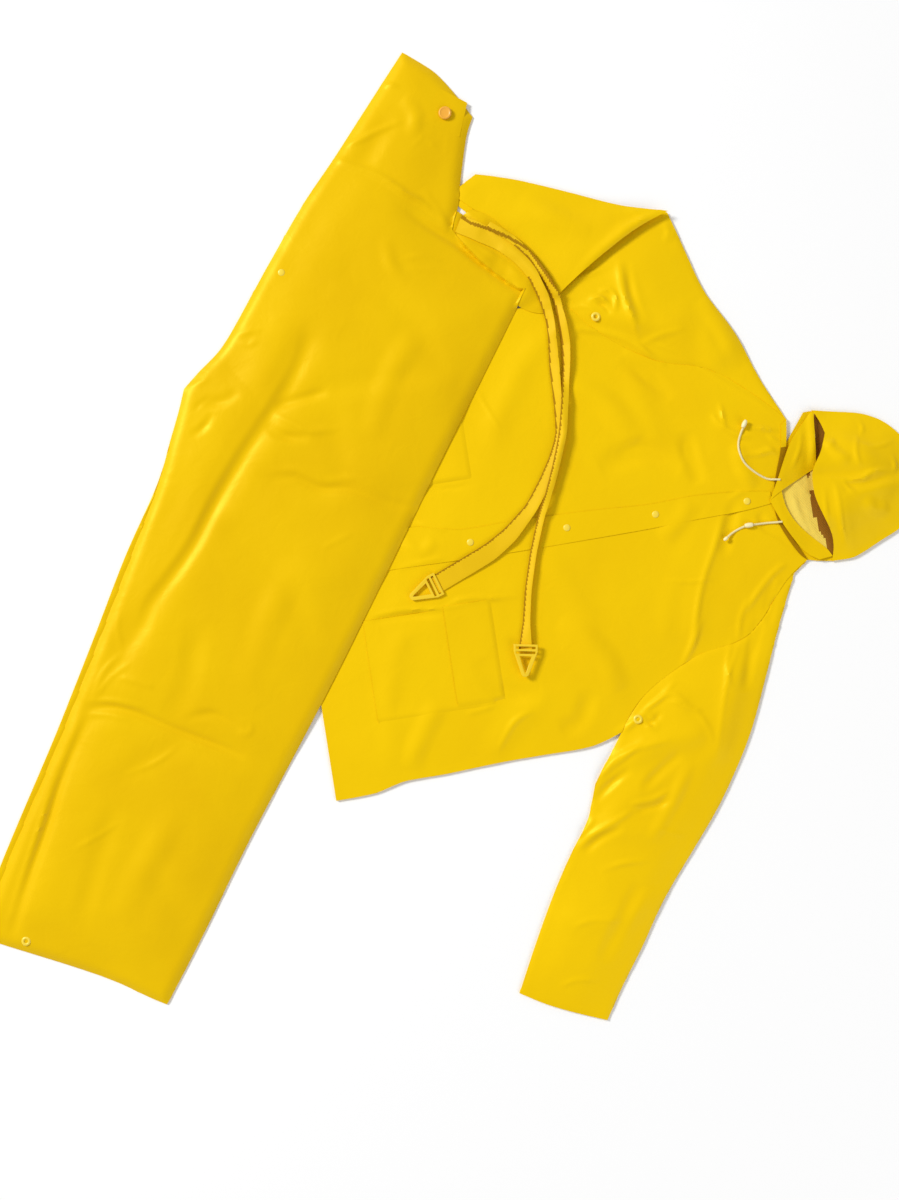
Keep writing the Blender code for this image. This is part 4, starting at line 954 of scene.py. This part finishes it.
@dataclass
class Panel:
    """One cut panel of cloth, laid on the form of its solid."""

    node: str
    finish: Finish
    slot: str
    creases: tuple[Crease, ...] = ()
    turn: float = 8.6
    cell: float = 3.4
    thickness: float = 1.0
    clearance: float = 0.25
    roll: float = 0.0
    roll_reach: float = 12.0
    undulation: float = 1.0
    gain: float = 1.0
    smoothing: int = 40
    settling: int = 1
    held: str = "laid"
    rests_on: tuple[str, ...] = ()
    reverse: Finish = None
    quiet_under: tuple[str, ...] = ()
    strip: tuple[float, float] = None
    grow: float = 0.0
    flush: bool = False
    bare_end: Spot = None
    bare_reach: float = 0.0
    trim: tuple[Spot, Spot] = None
    areas: tuple[tuple[Finish, tuple[Spot, ...]], ...] = ()
    # Painted shade along the left-hand rim: its finish and its width in millimetres.
    painted_edge_shade: Finish = None
    painted_edge_shade_width: float = 2.0

    def lay(self) -> bpy.types.Object:
        """Returns:
            The panel's object, which stands for its solid.
        """
        solid = cad_top(self.node)
        tree = BVHTree.FromBMesh(solid)
        mesh = meshed(grown(rounded(rim_of(solid), 0.005, 5), self.grow * MM), self.turn, self.cell * MM)
        solid.free()
        if self.trim:
            start, end = PLAN.at(self.trim[0]), PLAN.at(self.trim[1])
            run = (end - start).normalized()
            bmesh.ops.bisect_plane(
                mesh, geom=mesh.verts[:] + mesh.edges[:] + mesh.faces[:], dist=0.00002,
                plane_co=(start.x, start.y, 0.0), plane_no=(-run.y, run.x, 0.0), clear_outer=True,
            )
        for _, ring in self.areas:
            for start, end in zip(ring, ring[1:] + ring[:1]):
                start, run = PLAN.at(start), PLAN.at(end) - PLAN.at(start)
                bmesh.ops.bisect_plane(
                    mesh, geom=mesh.verts[:] + mesh.edges[:] + mesh.faces[:], dist=0.0001,
                    plane_co=(start.x, start.y, 0.0), plane_no=(-run.y, run.x, 0.0),
                )
        down = Vector((0.0, 0.0, -1.0))
        for vert in mesh.verts:
            hit = tree.ray_cast(Vector((vert.co.x, vert.co.y, 1.0)), down)[0]
            sunk = 0.0
            if hit is None:
                hit = tree.find_nearest(Vector((vert.co.x, vert.co.y, 0.01)))[0]
                sunk = GROWN_DROP * MM if self.grow else 0.0
            vert.co.z = hit.z - sunk
        for _ in range(self.smoothing):
            bmesh.ops.smooth_vert(mesh, verts=mesh.verts, factor=0.5, use_axis_z=True)
        self.crease(mesh)
        for passes in range(self.settling, -1, -1):
            self.keep_above(mesh)
            for _ in range(passes):
                bmesh.ops.smooth_vert(mesh, verts=mesh.verts, factor=0.5, use_axis_z=True)
        LAYERS.add(mesh)
        area = sum(face.calc_area() for face in mesh.faces)
        flat = self.strip or self.flat_size(mesh)
        second = self.reverse or self.painted_edge_shade
        finishes = [self.finish] + ([second] if second else [])
        for finish, ring in self.areas:
            corners = [PLAN.at(spot) for spot in ring]
            for face in mesh.faces:
                if inside(face.calc_center_median(), corners):
                    face.material_index = len(finishes)
            finishes.append(finish)
        self.thicken(mesh)
        made = shown(mesh, f"{self.node}_cloth", finishes)
        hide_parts(self.node)
        min(area, flat[0] * flat[1])
        LOG.info("%s: %.3f x %.3f m, %d faces", made.name, flat[0], flat[1], len(made.data.polygons))
        return made

    def crease(self, mesh: bmesh.types.BMesh) -> None:
        """Lift and sink the sheet along its creases, over its soft undulation and along its rolled rim.

        Args:
            mesh: The sheet, smooth so far.
        """
        mesh.verts.ensure_lookup_table()
        places = np.array([(vert.co.x, vert.co.y) for vert in mesh.verts])
        lift = np.zeros(len(places))
        for crease in self.creases:
            lift += CREASE_GAIN * self.gain * crease.lift(places)
        for index, (x, y) in enumerate(places):
            soft = noise.noise(Vector((x * 9.0, y * 9.0, 3.7))) * 0.9
            fine = noise.noise(Vector((x * 27.0, y * 27.0, 8.1))) * 0.32
            lift[index] += (soft + fine) * self.undulation * MM
        rim = rim_of(mesh)
        closed = np.array([(point.x, point.y) for point in rim + rim[:1]])[::2]
        away = np.full(len(places), np.inf)
        left_away = np.full(len(places), np.inf)
        self.right_away = np.full(len(places), np.inf)
        bare = np.array(PLAN.at(self.bare_end)) if self.bare_end else None
        reach = 0.03
        for start, end in zip(closed[:-1], closed[1:]):
            run = end - start
            length = max(float(np.hypot(*run)), 1e-9)
            box = np.minimum(start, end) - reach, np.maximum(start, end) + reach
            near = np.nonzero(np.all((places > box[0]) & (places < box[1]), axis=1))[0]
            offset = places[near] - start
            along = np.clip(offset @ (run / length), 0.0, length)
            gap = np.linalg.norm(offset - along[:, None] * (run / length), axis=1)
            away[near] = np.minimum(away[near], gap)
            if run[1] > 0.0:
                self.right_away[near] = np.minimum(self.right_away[near], gap)
            elif bare is None or np.hypot(*(start - bare)) > self.bare_reach * MM:
                left_away[near] = np.minimum(left_away[near], gap)
        lift *= 0.6 + 0.4 * np.clip(away / (RIM_FADE * MM), 0.0, 1.0)
        if self.roll:
            part = 1.0 - np.clip(away / (self.roll_reach * MM), 0.0, 1.0)
            lift += self.roll * MM * (1.0 - part ** 2.4 - ROLL_DROP)
        for node in self.quiet_under:
            lift *= self.quiet(places, node)
        for vert, rise in zip(mesh.verts, lift):
            vert.co.z += rise
        # Painted shade: faces near the left-hand rim, away from the bare end, take the dark edge finish.
        if self.painted_edge_shade:
            for face in mesh.faces:
                middle = sum(left_away[vert.index] for vert in face.verts) / len(face.verts)
                face.material_index = 1 if middle < self.painted_edge_shade_width * MM else 0

    def quiet(self, places: np.ndarray, node: str) -> np.ndarray:
        """Return how much of the creases is left beside and under a piece that lies on the panel.

        Args:
            places: Plan points, one a row.
            node: The solid of the piece on top.

        Returns:
            A share from nothing under the piece to one away from it.
        """
        solid = cad_top(node)
        tree = BVHTree.FromBMesh(solid)
        solid.free()
        low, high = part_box(node)
        share = np.ones(len(places))
        for index, (x, y) in enumerate(places):
            if low.x - 0.02 < x < high.x + 0.02 and low.y - 0.02 < y < high.y + 0.02:
                if tree.ray_cast(Vector((x, y, 1.0)), Vector((0.0, 0.0, -1.0)))[0] is not None:
                    share[index] = 0.15
        return share

    def keep_above(self, mesh: bmesh.types.BMesh) -> None:
        """Raise the sheet where it would cut into what lies under it."""
        for vert in mesh.verts:
            under = LAYERS.top(vert.co.x, vert.co.y)
            least = under + (self.thickness + self.clearance) * MM
            vert.co.z = max(vert.co.z, least)
            if self.flush:
                share = min(1.0, float(self.right_away[vert.index]) / (FLUSH_REACH * MM))
                vert.co.z = (1.0 - share) * (under + 0.12 * MM) + share * vert.co.z

    def flat_size(self, mesh: bmesh.types.BMesh) -> tuple[float, float]:
        """Return the width and length of the cut, measured along the panel's own directions."""
        angle = math.radians(self.turn)
        along = [vert.co.x * math.cos(angle) + vert.co.y * math.sin(angle) for vert in mesh.verts]
        across = [vert.co.y * math.cos(angle) - vert.co.x * math.sin(angle) for vert in mesh.verts]
        sizes = sorted((max(along) - min(along), max(across) - min(across)))
        return sizes[0] * 1.01, sizes[1] * 1.01

    def thicken(self, mesh: bmesh.types.BMesh) -> None:
        """Give the sheet its wall, below its upper side."""
        bmesh.ops.solidify(mesh, geom=mesh.faces[:], thickness=-self.thickness * MM)
        bmesh.ops.recalc_face_normals(mesh, faces=mesh.faces[:])
        mesh.normal_update()
        if self.reverse:
            for face in mesh.faces:
                face.material_index = 1 if face.normal.z < -0.2 else 0


@dataclass
class HiddenLayers:
    """The folded layers under the trousers' front, one body whose edge shows past the front."""

    node: str = "trousers_folded_layers"
    front: str = "trousers_front"
    cell: float = 5.0
    edge_height: float = 2.4
    tuck: float = 7.5

    def lay(self) -> bpy.types.Object:
        """Build the body between the solid's underside and just below the front.

        Returns:
            The body's object.
        """
        solid = cad_top(self.node)
        rim = rounded(rim_of(solid), 0.005, 5)
        top_tree = BVHTree.FromBMesh(solid)
        solid.free()
        whole = bmesh.new()
        whole.from_mesh(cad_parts[self.node].data)
        under_tree = BVHTree.FromBMesh(whole)
        whole.free()
        mesh = meshed(rim, 63.2, self.cell * MM)
        up, down = Vector((0.0, 0.0, 1.0)), Vector((0.0, 0.0, -1.0))
        base = {}
        tops = {}
        for vert in mesh.verts:
            x, y = vert.co.x, vert.co.y
            low = under_tree.ray_cast(Vector((x, y, -1.0)), up)[0]
            high = top_tree.ray_cast(Vector((x, y, 1.0)), down)[0]
            base[vert] = low.z if low else 0.0
            tops[vert] = high.z if high else base[vert] + self.edge_height * MM
            vert.co.z = tops[vert]
        front = cad_top(self.front)
        front_tree = BVHTree.FromBMesh(front)
        front.free()
        for vert in mesh.verts:
            if front_tree.ray_cast(Vector((vert.co.x, vert.co.y, 1.0)), down)[0] is not None:
                vert.co.z = max(base[vert] + 1.2 * MM, tops[vert] - self.tuck * MM)
        grown = bmesh.ops.extrude_face_region(mesh, geom=mesh.faces[:])
        risen = [item for item in grown["geom"] if isinstance(item, bmesh.types.BMVert)]
        for vert in risen:
            hit = under_tree.ray_cast(Vector((vert.co.x, vert.co.y, -1.0)), up)[0]
            vert.co.z = hit.z if hit else 0.0
        bmesh.ops.recalc_face_normals(mesh, faces=mesh.faces)
        made = shown(mesh, "trousers_hidden_layers", [TROUSER_CLOTH], 35.0)
        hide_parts(self.node)
        LOG.info("%s: %d faces", made.name, len(made.data.polygons))
        return made


JACKET_ALL = JACKET_CREASES + SLEEVE_CREASES + RIGHT_SLEEVE_CREASES


@dataclass
class Jacket:
    """The hooded jacket: panels, pockets, flap, sleeves and hood."""

    panel_turn: float = 8.6
    sleeve_turn: float = 69.0
    hood_areas: tuple[tuple[Finish, tuple[Spot, ...]], ...] = (
        (JACKET_CLOTH, ((760, 400), (813, 400), (811, 470), (760, 470))),
        (JACKET_CLOTH, ((780, 520), (812, 552), (824, 549), (842, 549), (842, 575), (780, 575))),
        # Painted shade: the hollow beside the upper facing, a small speck and the band under the shell's rim are
        # coloured dark brown.
        (PAINTED_HOLLOW_SHADE, ((810.5, 414), (816, 414), (830, 425), (828, 450), (818, 464), (812, 464), (814, 450),
                  (814.5, 438), (812.5, 422))),
        (PAINTED_HOLLOW_SHADE, ((804, 470), (808, 468), (809.5, 476), (806.5, 478))),
        (PAINTED_HOLLOW_SHADE, ((809.5, 491), (820, 491), (840, 540), (838, 556), (825.5, 556), (826, 540), (819.5, 531.5),
                  (815.5, 517.5), (812, 516.5))),
    )
    # Painted shade: the neck binding is coloured dark brown inside this box.
    neck_shade_areas: tuple[tuple[Finish, tuple[Spot, ...]], ...] = (
        (PAINTED_NECK_SHADE, ((750, 447), (812, 447), (812, 580), (750, 580))),
    )

    def build(self) -> None:
        """Lay the jacket's panels from the floor up."""
        on_back = ("jacket_back",)
        for node, turn in (("jacket_back", self.panel_turn), ("sleeve_left_under", self.sleeve_turn),
                           ("sleeve_right_under", self.panel_turn)):
            self.dress_hidden(node, turn)
        for node in ("jacket_front_left", "jacket_front_right"):
            Panel(
                node, JACKET_CLOTH, "coated_cloth", JACKET_ALL, self.panel_turn, cell=2.9, gain=1.45,
                rests_on=on_back, quiet_under=("trousers_folded_layers",),
            ).lay()
        Panel("sleeve_left_upper", JACKET_CLOTH, "coated_cloth", JACKET_ALL, self.sleeve_turn,
              cell=2.9, roll=1.6, roll_reach=8.0, rests_on=("sleeve_left_under",)).lay()
        Panel("sleeve_right_upper", JACKET_CLOTH, "coated_cloth", JACKET_ALL, self.panel_turn,
              cell=2.9, roll=1.6, roll_reach=8.0, rests_on=("sleeve_right_under",)).lay()
        Panel("sleeve_right_turnback", JACKET_CLOTH, "coated_cloth", TURNBACK_CREASES, self.panel_turn,
              roll=1.2, rests_on=("sleeve_right_upper_cloth",), held="folded").lay()
        for node in ("pocket_right", "pocket_left", "pocket_flap_right", "pocket_flap_left", "storm_flap"):
            Panel(node, JACKET_CLOTH, "coated_cloth", JACKET_ALL, self.panel_turn, cell=2.9, thickness=0.5,
                  clearance=0.1, smoothing=30, rests_on=on_back, flush=node.startswith("pocket"),
                  quiet_under=("trousers_folded_layers",)).lay()
        Panel("neck_binding", JACKET_CLOTH, "coated_cloth", (), self.panel_turn, cell=2.4, undulation=0.4,
              smoothing=12, rests_on=on_back, areas=self.neck_shade_areas, strip=(0.010, 0.211)).lay()

    def build_hood(self) -> None:
        """Lay the hood: its pale back, the two facings and the raised shell."""
        Panel("hood_back", REVERSE, "cloth_reverse", INNER_CREASES, self.panel_turn, cell=2.6, undulation=0.6,
              smoothing=20, trim=((788.5, 438), (802, 414)), areas=self.hood_areas).lay()
        for node, trim, strip in (
            ("hood_facing_lower", None, (0.0202, 0.118)),
            ("hood_facing_upper", ((811.5, 410), (815, 462)), None),
        ):
            Panel(node, JACKET_CLOTH, "coated_cloth", FACING_CREASES, self.panel_turn, cell=2.2, undulation=0.5,
                  smoothing=8, held="folded", rests_on=("hood_back_cloth",), reverse=REVERSE, trim=trim,
                  strip=strip).lay()
        Panel("hood_shell", JACKET_CLOTH, "coated_cloth", HOOD_CREASES, self.panel_turn, cell=2.6,
              smoothing=24, undulation=1.2, rests_on=("hood_back_cloth",), reverse=REVERSE).lay()

    def dress_hidden(self, node: str, turn: float) -> None:
        """Args:
            node: The panel's solid.
            turn: Direction of its cut, in degrees.
        """
        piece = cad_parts[node]
        piece.data.materials.clear()
        piece.data.materials.append(SHELF.take(JACKET_CLOTH))
        mesh = cad_top(node)
        LAYERS.add(mesh)
        area = sum(face.calc_area() for face in mesh.faces)
        flat = Panel(node, JACKET_CLOTH, "coated_cloth", turn=turn).flat_size(mesh)
        min(area, flat[0] * flat[1])
        mesh.free()


@dataclass
class Trousers:
    """The bib trousers folded in half lengthwise."""

    turn: float = 63.2

    def build(self) -> None:
        """Lay the hidden layers, the front and what is sewn on it."""
        HiddenLayers().lay()
        Panel("trousers_back_panel", TROUSER_CLOTH, "trouser_cloth", PANEL_CREASES, self.turn, cell=2.6,
              smoothing=6, undulation=0.7, grow=1.5, held="folded",
              rests_on=("trousers_hidden_layers",)).lay()
        Panel("trousers_front", TROUSER_CLOTH, "trouser_cloth", TROUSER_CREASES, self.turn, cell=3.3,
              gain=0.85, roll=6.0, roll_reach=18.0, held="folded", rests_on=("trousers_hidden_layers",)).lay()
        Panel("button_patch", TROUSER_CLOTH, "trouser_cloth", TROUSER_CREASES, self.turn, cell=2.6,
              thickness=0.5, clearance=0.1, roll=0.6, roll_reach=7.0, smoothing=20,
              rests_on=("trousers_front_cloth",)).lay()


@dataclass
class Braces:
    """The two elastic braces with their clips."""

    bevel: float = 0.55
    length: dict[str, float] = field(default_factory=lambda: {"left": 0.654, "right": 0.651})
    start: dict[str, Spot] = field(default_factory=lambda: {"left": (458.4, 224.3), "right": (488.0, 226.9)})
    bare: dict[str, float] = field(default_factory=lambda: {"left": 125.0, "right": 45.0})
    # Path of a painted shadow band along the straps, 3 picture elements wide.
    shade: tuple[Spot, ...] = ((455, 209), (462, 218), (471.5, 225), (488, 230.3), (508, 239.7), (528.8, 252),
                               (543.2, 272), (557.6, 293), (565, 306), (570, 324))

    def build(self) -> None:
        """Lay both straps and set their clips."""
        for side in ("left", "right"):
            # Each strap's left-hand rim and the band along the shade path get painted shade.
            Panel(f"brace_{side}", STRAP, "elastic_webbing", (), 100.0, cell=1.8, thickness=1.4,
                  undulation=0.5, smoothing=10, roll=0.3, roll_reach=3.0, strip=(0.026, self.length[side]),
                  painted_edge_shade=PAINTED_EDGE_SHADE, bare_end=self.start[side], bare_reach=self.bare[side],
                  areas=((PAINTED_EDGE_SHADE, band(self.shade, 3.0)),), rests_on=("jacket_front_left_cloth",)).lay()
            self.clip(f"brace_clip_{side}")

    def clip(self, node: str) -> None:
        """Round a moulded clip's edges.

        Args:
            node: The clip's solid.
        """
        mesh = bmesh.new()
        mesh.from_mesh(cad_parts[node].data)
        bmesh.ops.remove_doubles(mesh, verts=mesh.verts, dist=0.00002)
        bmesh.ops.dissolve_limit(mesh, angle_limit=math.radians(1.0), verts=mesh.verts, edges=mesh.edges)
        sharp = [edge for edge in mesh.edges if edge.calc_face_angle(0.0) > math.radians(12)]
        bmesh.ops.bevel(
            mesh, geom=sharp, offset=self.bevel * MM, offset_type="OFFSET", segments=3, profile=0.5,
            affect="EDGES", material=-1, clamp_overlap=True,
        )
        made = shown(mesh, f"{node}_moulding", [CLIP], 50.0)
        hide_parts(node)
        LOG.info("%s: %d faces", made.name, len(made.data.polygons))


@dataclass
class Stitching:
    """Rows of thread along the seams and hems, each stitch a slim bead on the cloth."""

    pitch: float = 3.6
    length: float = 2.7
    thread: float = 0.24
    jacket_rows: tuple[tuple[Spot, ...], ...] = (
        ((768, 486), (738, 488), (700, 492), (660, 500), (600, 512), (568, 518)),
        ((548, 524), (480, 533), (430, 541), (410, 546)),
        ((768, 507), (738, 513), (690, 521), (640, 531), (600, 539), (566, 545)),
        ((540, 548), (480, 557), (430, 566), (398, 573)),
        ((341, 785), (346, 794), (420, 774), (500, 762), (560, 752), (614, 730)),
        ((524, 985), (560, 994), (611, 1006)),
        ((449, 606), (452, 640), (458, 700)),
        ((462, 712), (500, 705), (504, 700)),
        ((385, 718), (420, 714), (455, 708)),
    )
    trouser_rows: tuple[tuple[Spot, ...], ...] = (
        ((4, 930), (60, 950), (120, 972), (168, 989)),
        ((399, 66), (424, 76), (444, 92), (462, 116)),
        ((334, 164), (352, 173), (376, 182), (400, 190), (424, 200), (448, 214)),
    )

    def build(self) -> None:
        """Sew the rows of both garments."""
        self.sew("jacket_stitching", self.jacket_rows)
        self.sew("trouser_stitching", self.trouser_rows)

    def sew(self, name: str, rows: tuple[tuple[Spot, ...], ...]) -> None:
        """Make the stitches of one garment.

        Args:
            name: The piece's name.
            rows: Paths of the rows in the picture.
        """
        mesh = bmesh.new()
        count = 0
        for row in rows:
            line = [Vector(point) for point in Crease(row, 1.0, 1.0).line()]
            left_over = 0.0
            for start, end in zip(line, line[1:]):
                run = end - start
                walked = left_over
                while walked < run.length:
                    place = start + run.normalized() * walked
                    reach = run.normalized() * 0.5 * self.length * MM
                    near, far = (LAYERS.top(*(place + reach * side)) for side in (-1.0, 1.0))
                    level = LAYERS.top(*place)
                    if level > 0.0 and abs(far - near) < self.length * MM:
                        tilt = math.atan2(far - near, self.length * MM)
                        bmesh.ops.create_uvsphere(
                            mesh, u_segments=6, v_segments=4, radius=0.5,
                            matrix=Matrix.Translation((place.x, place.y, max(level, 0.5 * (near + far)) + 0.12 * MM))
                            @ Matrix.Rotation(math.atan2(run.y, run.x), 4, "Z")
                            @ Matrix.Rotation(-tilt, 4, "Y")
                            @ Matrix.Diagonal((self.length * MM, 2.0 * self.thread * MM, 2.0 * self.thread * MM, 1.0)),
                        )
                        count += 1
                    walked += self.pitch * MM
                left_over = walked - run.length
        made = shown(mesh, name, [THREAD], 180.0)
        LOG.info("%s: %d stitches", made.name, count)


@dataclass
class Fasteners:
    """Press snaps, vent eyelets and the bib button, each turned finer on its solid's place."""

    segments: int = 48
    snap: tuple[Spot, ...] = ((0, 0), (4.7, 0), (4.95, 0.25), (5.0, 0.6), (4.8, 0.95), (4.3, 1.3), (3.4, 1.6),
                              (2.3, 1.8), (1.1, 1.88), (0, 1.9))
    eyelet: tuple[Spot, ...] = ((2.6, 0), (6.2, 0), (6.55, 0.25), (6.6, 0.6), (6.1, 1.1), (5.2, 1.6),
                                (4.5, 1.8), (3.8, 1.65), (3.1, 1.25), (2.8, 0.8), (2.6, 0.4))
    button: tuple[Spot, ...] = ((0, 0), (5.0, 0), (5.0, 1.4), (8.4, 1.5), (9.0, 1.8), (9.2, 2.4), (9.0, 3.1),
                                (8.4, 3.8), (7.6, 4.2), (6.8, 4.1), (6.2, 3.7), (5.4, 3.5), (2.0, 3.5), (0, 3.5))

    def build(self) -> None:
        """Turn every fastener."""
        for number in range(1, 5):
            self.turned(f"press_snap_{number}", self.snap, SNAP)
        self.turned("fly_snap", self.snap, SNAP)
        for node in ("vent_eyelet_1", "vent_eyelet_2", "ankle_snap"):
            self.turned(node, self.eyelet, SNAP)
        self.turned("bib_button", self.button, BUTTON)

    def turned(self, node: str, profile: tuple[Spot, ...], finish: Finish) -> None:
        """Turn one fastener on the cloth at its solid's place.

        Args:
            node: The fastener's solid.
            profile: Radius and level pairs, in millimetres.
            finish: Its finish.
        """
        low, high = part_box(node)
        middle = 0.5 * (low + high)
        mesh = bmesh.new()
        verts = [mesh.verts.new((radius * MM, 0.0, level * MM)) for radius, level in profile]
        closes = profile[0][0] > 0.0
        for start, end in zip(verts, verts[1:] + (verts[:1] if closes else [])):
            mesh.edges.new((start, end))
        bmesh.ops.spin(
            mesh, geom=mesh.verts[:] + mesh.edges[:], cent=(0.0, 0.0, 0.0), axis=(0.0, 0.0, 1.0),
            dvec=(0.0, 0.0, 0.0), angle=2.0 * math.pi, steps=self.segments, use_merge=True,
        )
        bmesh.ops.remove_doubles(mesh, verts=mesh.verts, dist=0.000005)
        bmesh.ops.recalc_face_normals(mesh, faces=mesh.faces)
        reach = max(radius for radius, level in profile) * MM
        rings = [(0.0, 0.0)] + [
            (share * reach * math.cos(step * math.pi / 4), share * reach * math.sin(step * math.pi / 4))
            for share in (0.5, 1.0) for step in range(8)
        ]
        seat = max(LAYERS.top(middle.x + x, middle.y + y) for x, y in rings) + 0.05 * MM
        bmesh.ops.translate(mesh, verts=mesh.verts, vec=(middle.x, middle.y, seat))
        made = shown(mesh, f"{node}_turned", [finish], 60.0)
        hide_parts(node)
        LOG.info("%s: seated at %.1f mm", made.name, seat / MM)


@dataclass
class Drawcord:
    """The hood's two drawcord ends with the toggle, the bead and the end knob."""

    diameter: float = 3.0
    upper: tuple[Spot, ...] = ((779, 480), (773.5, 479.8), (766, 479), (754, 472.6), (743, 463), (737.5, 450),
                               (738.5, 437), (742, 428.5))
    lower: tuple[Spot, ...] = ((781, 522), (774, 522.6), (766, 523.2), (752, 525), (744, 526.4), (734, 531.5),
                               (728.5, 535.5), (726, 538))

    def build(self) -> None:
        """Lay both cord ends and string what is on them."""
        self.fitting("drawcord_toggle")
        self.fitting("drawcord_end_knob")
        self.fitting("drawcord_bead")
        self.cord("drawcord_upper")
        self.cord("drawcord_lower")

    def fitting(self, node: str) -> None:
        """Smooth a fitting's solid.

        Args:
            node: The fitting's solid.
        """
        mesh = bmesh.new()
        mesh.from_mesh(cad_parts[node].data)
        bmesh.ops.remove_doubles(mesh, verts=mesh.verts, dist=0.00002)
        made = shown(mesh, f"{node}_moulding", [IVORY], 60.0)
        soft = made.modifiers.new("rounding", "SUBSURF")
        soft.levels = 1
        soft.render_levels = 1
        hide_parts(node)

    def cord(self, node: str) -> None:
        """Lay one cord end over the cloth.

        Args:
            node: The cord's solid.
        """
        spots = self.upper if node.endswith("upper") else self.lower
        line = Crease(spots, 1.0, 1.0).line()
        radius = 0.5 * self.diameter * MM
        solid = bmesh.new()
        solid.from_mesh(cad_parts[node].data)
        tree = BVHTree.FromBMesh(solid)
        solid.free()
        points = []
        for x, y in line:
            near = tree.find_nearest(Vector((x, y, 0.006)))[0]
            top = LAYERS.top(x, y) if len(points) > 1 else 0.0
            points.append(Vector((x, y, max(near.z, top + radius))))
        data = bpy.data.curves.new(f"{node}_braid", "CURVE")
        data.dimensions = "3D"
        spline = data.splines.new("POLY")
        spline.points.add(len(points) - 1)
        for target, point in zip(spline.points, points):
            target.co = (*point, 1.0)
        data.bevel_depth = radius
        data.bevel_resolution = 4
        data.use_fill_caps = True
        data.materials.append(SHELF.take(CORD))
        made = bpy.data.objects.new(f"{node}_braid", data)
        bpy.context.scene.collection.objects.link(made)
        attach(made, "root")
        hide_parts(node)


@dataclass
class Studio:
    """The camera straight above, soft light from the upper left and a pale floor."""

    height: float = 2.37
    lens: float = 50.0
    sensor: float = 36.0
    centre: Spot = (449.5, 600.0)
    frame_height: float = 1.704

    def build(self) -> None:
        """Set the camera, the lights, the world and the floor."""
        self.camera()
        self.light("key_softbox", (-5.6, 3.2, 5.0), 2.0, 550.0)
        self.light("fill_softbox", (2.6, -2.4, 2.6), 2.4, 40.0)
        world = bpy.data.worlds.new("studio")
        world.use_nodes = True
        world.node_tree.nodes["Background"].inputs["Color"].default_value = (1.0, 1.0, 1.0, 1.0)
        world.node_tree.nodes["Background"].inputs["Strength"].default_value = 0.46
        bpy.context.scene.world = world
        bpy.context.scene.view_settings.view_transform = "Standard"
        mesh = bmesh.new()
        bmesh.ops.create_grid(mesh, x_segments=1, y_segments=1, size=6.0)
        data = bpy.data.meshes.new("floor")
        mesh.to_mesh(data)
        mesh.free()
        data.transform(Matrix.Translation((0.0, 0.0, -0.0002)))
        data.materials.append(SHELF.take(FLOOR))
        floor = bpy.data.objects.new("floor", data)
        bpy.context.scene.collection.objects.link(floor)

    def camera(self) -> None:
        """Put the camera where the picture was taken from."""
        data = bpy.data.cameras.new("camera")
        data.sensor_width = self.sensor
        data.sensor_fit = "AUTO"
        data.lens = self.sensor * self.height / self.frame_height
        place = PLAN.at(self.centre)
        camera = bpy.data.objects.new("camera", data)
        camera.location = (place.x, place.y, self.height)
        bpy.context.scene.collection.objects.link(camera)
        bpy.context.scene.camera = camera

    def light(self, name: str, place: tuple[float, float, float], size: float, power: float) -> None:
        """Hang one soft light that looks at the suit.

        Args:
            name: The light's name.
            place: Where it hangs.
            size: The side of its square, in metres.
            power: Its power, in watts.
        """
        data = bpy.data.lights.new(name, "AREA")
        data.shape = "SQUARE"
        data.size = size
        data.energy = power
        lamp = bpy.data.objects.new(name, data)
        lamp.location = place
        lamp.rotation_euler = (-Vector(place)).to_track_quat("-Z", "Y").to_euler()
        bpy.context.scene.collection.objects.link(lamp)


def main() -> None:
    """Build the suit's looks in order, from the floor up."""
    logging.basicConfig(level=logging.INFO, format="%(name)s: %(message)s")
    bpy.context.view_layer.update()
    Studio().build()
    jacket = Jacket()
    jacket.build()
    jacket.build_hood()
    Trousers().build()
    Stitching().build()
    Braces().build()
    Fasteners().build()
    Drawcord().build()


if __name__ == "__main__":
    main()
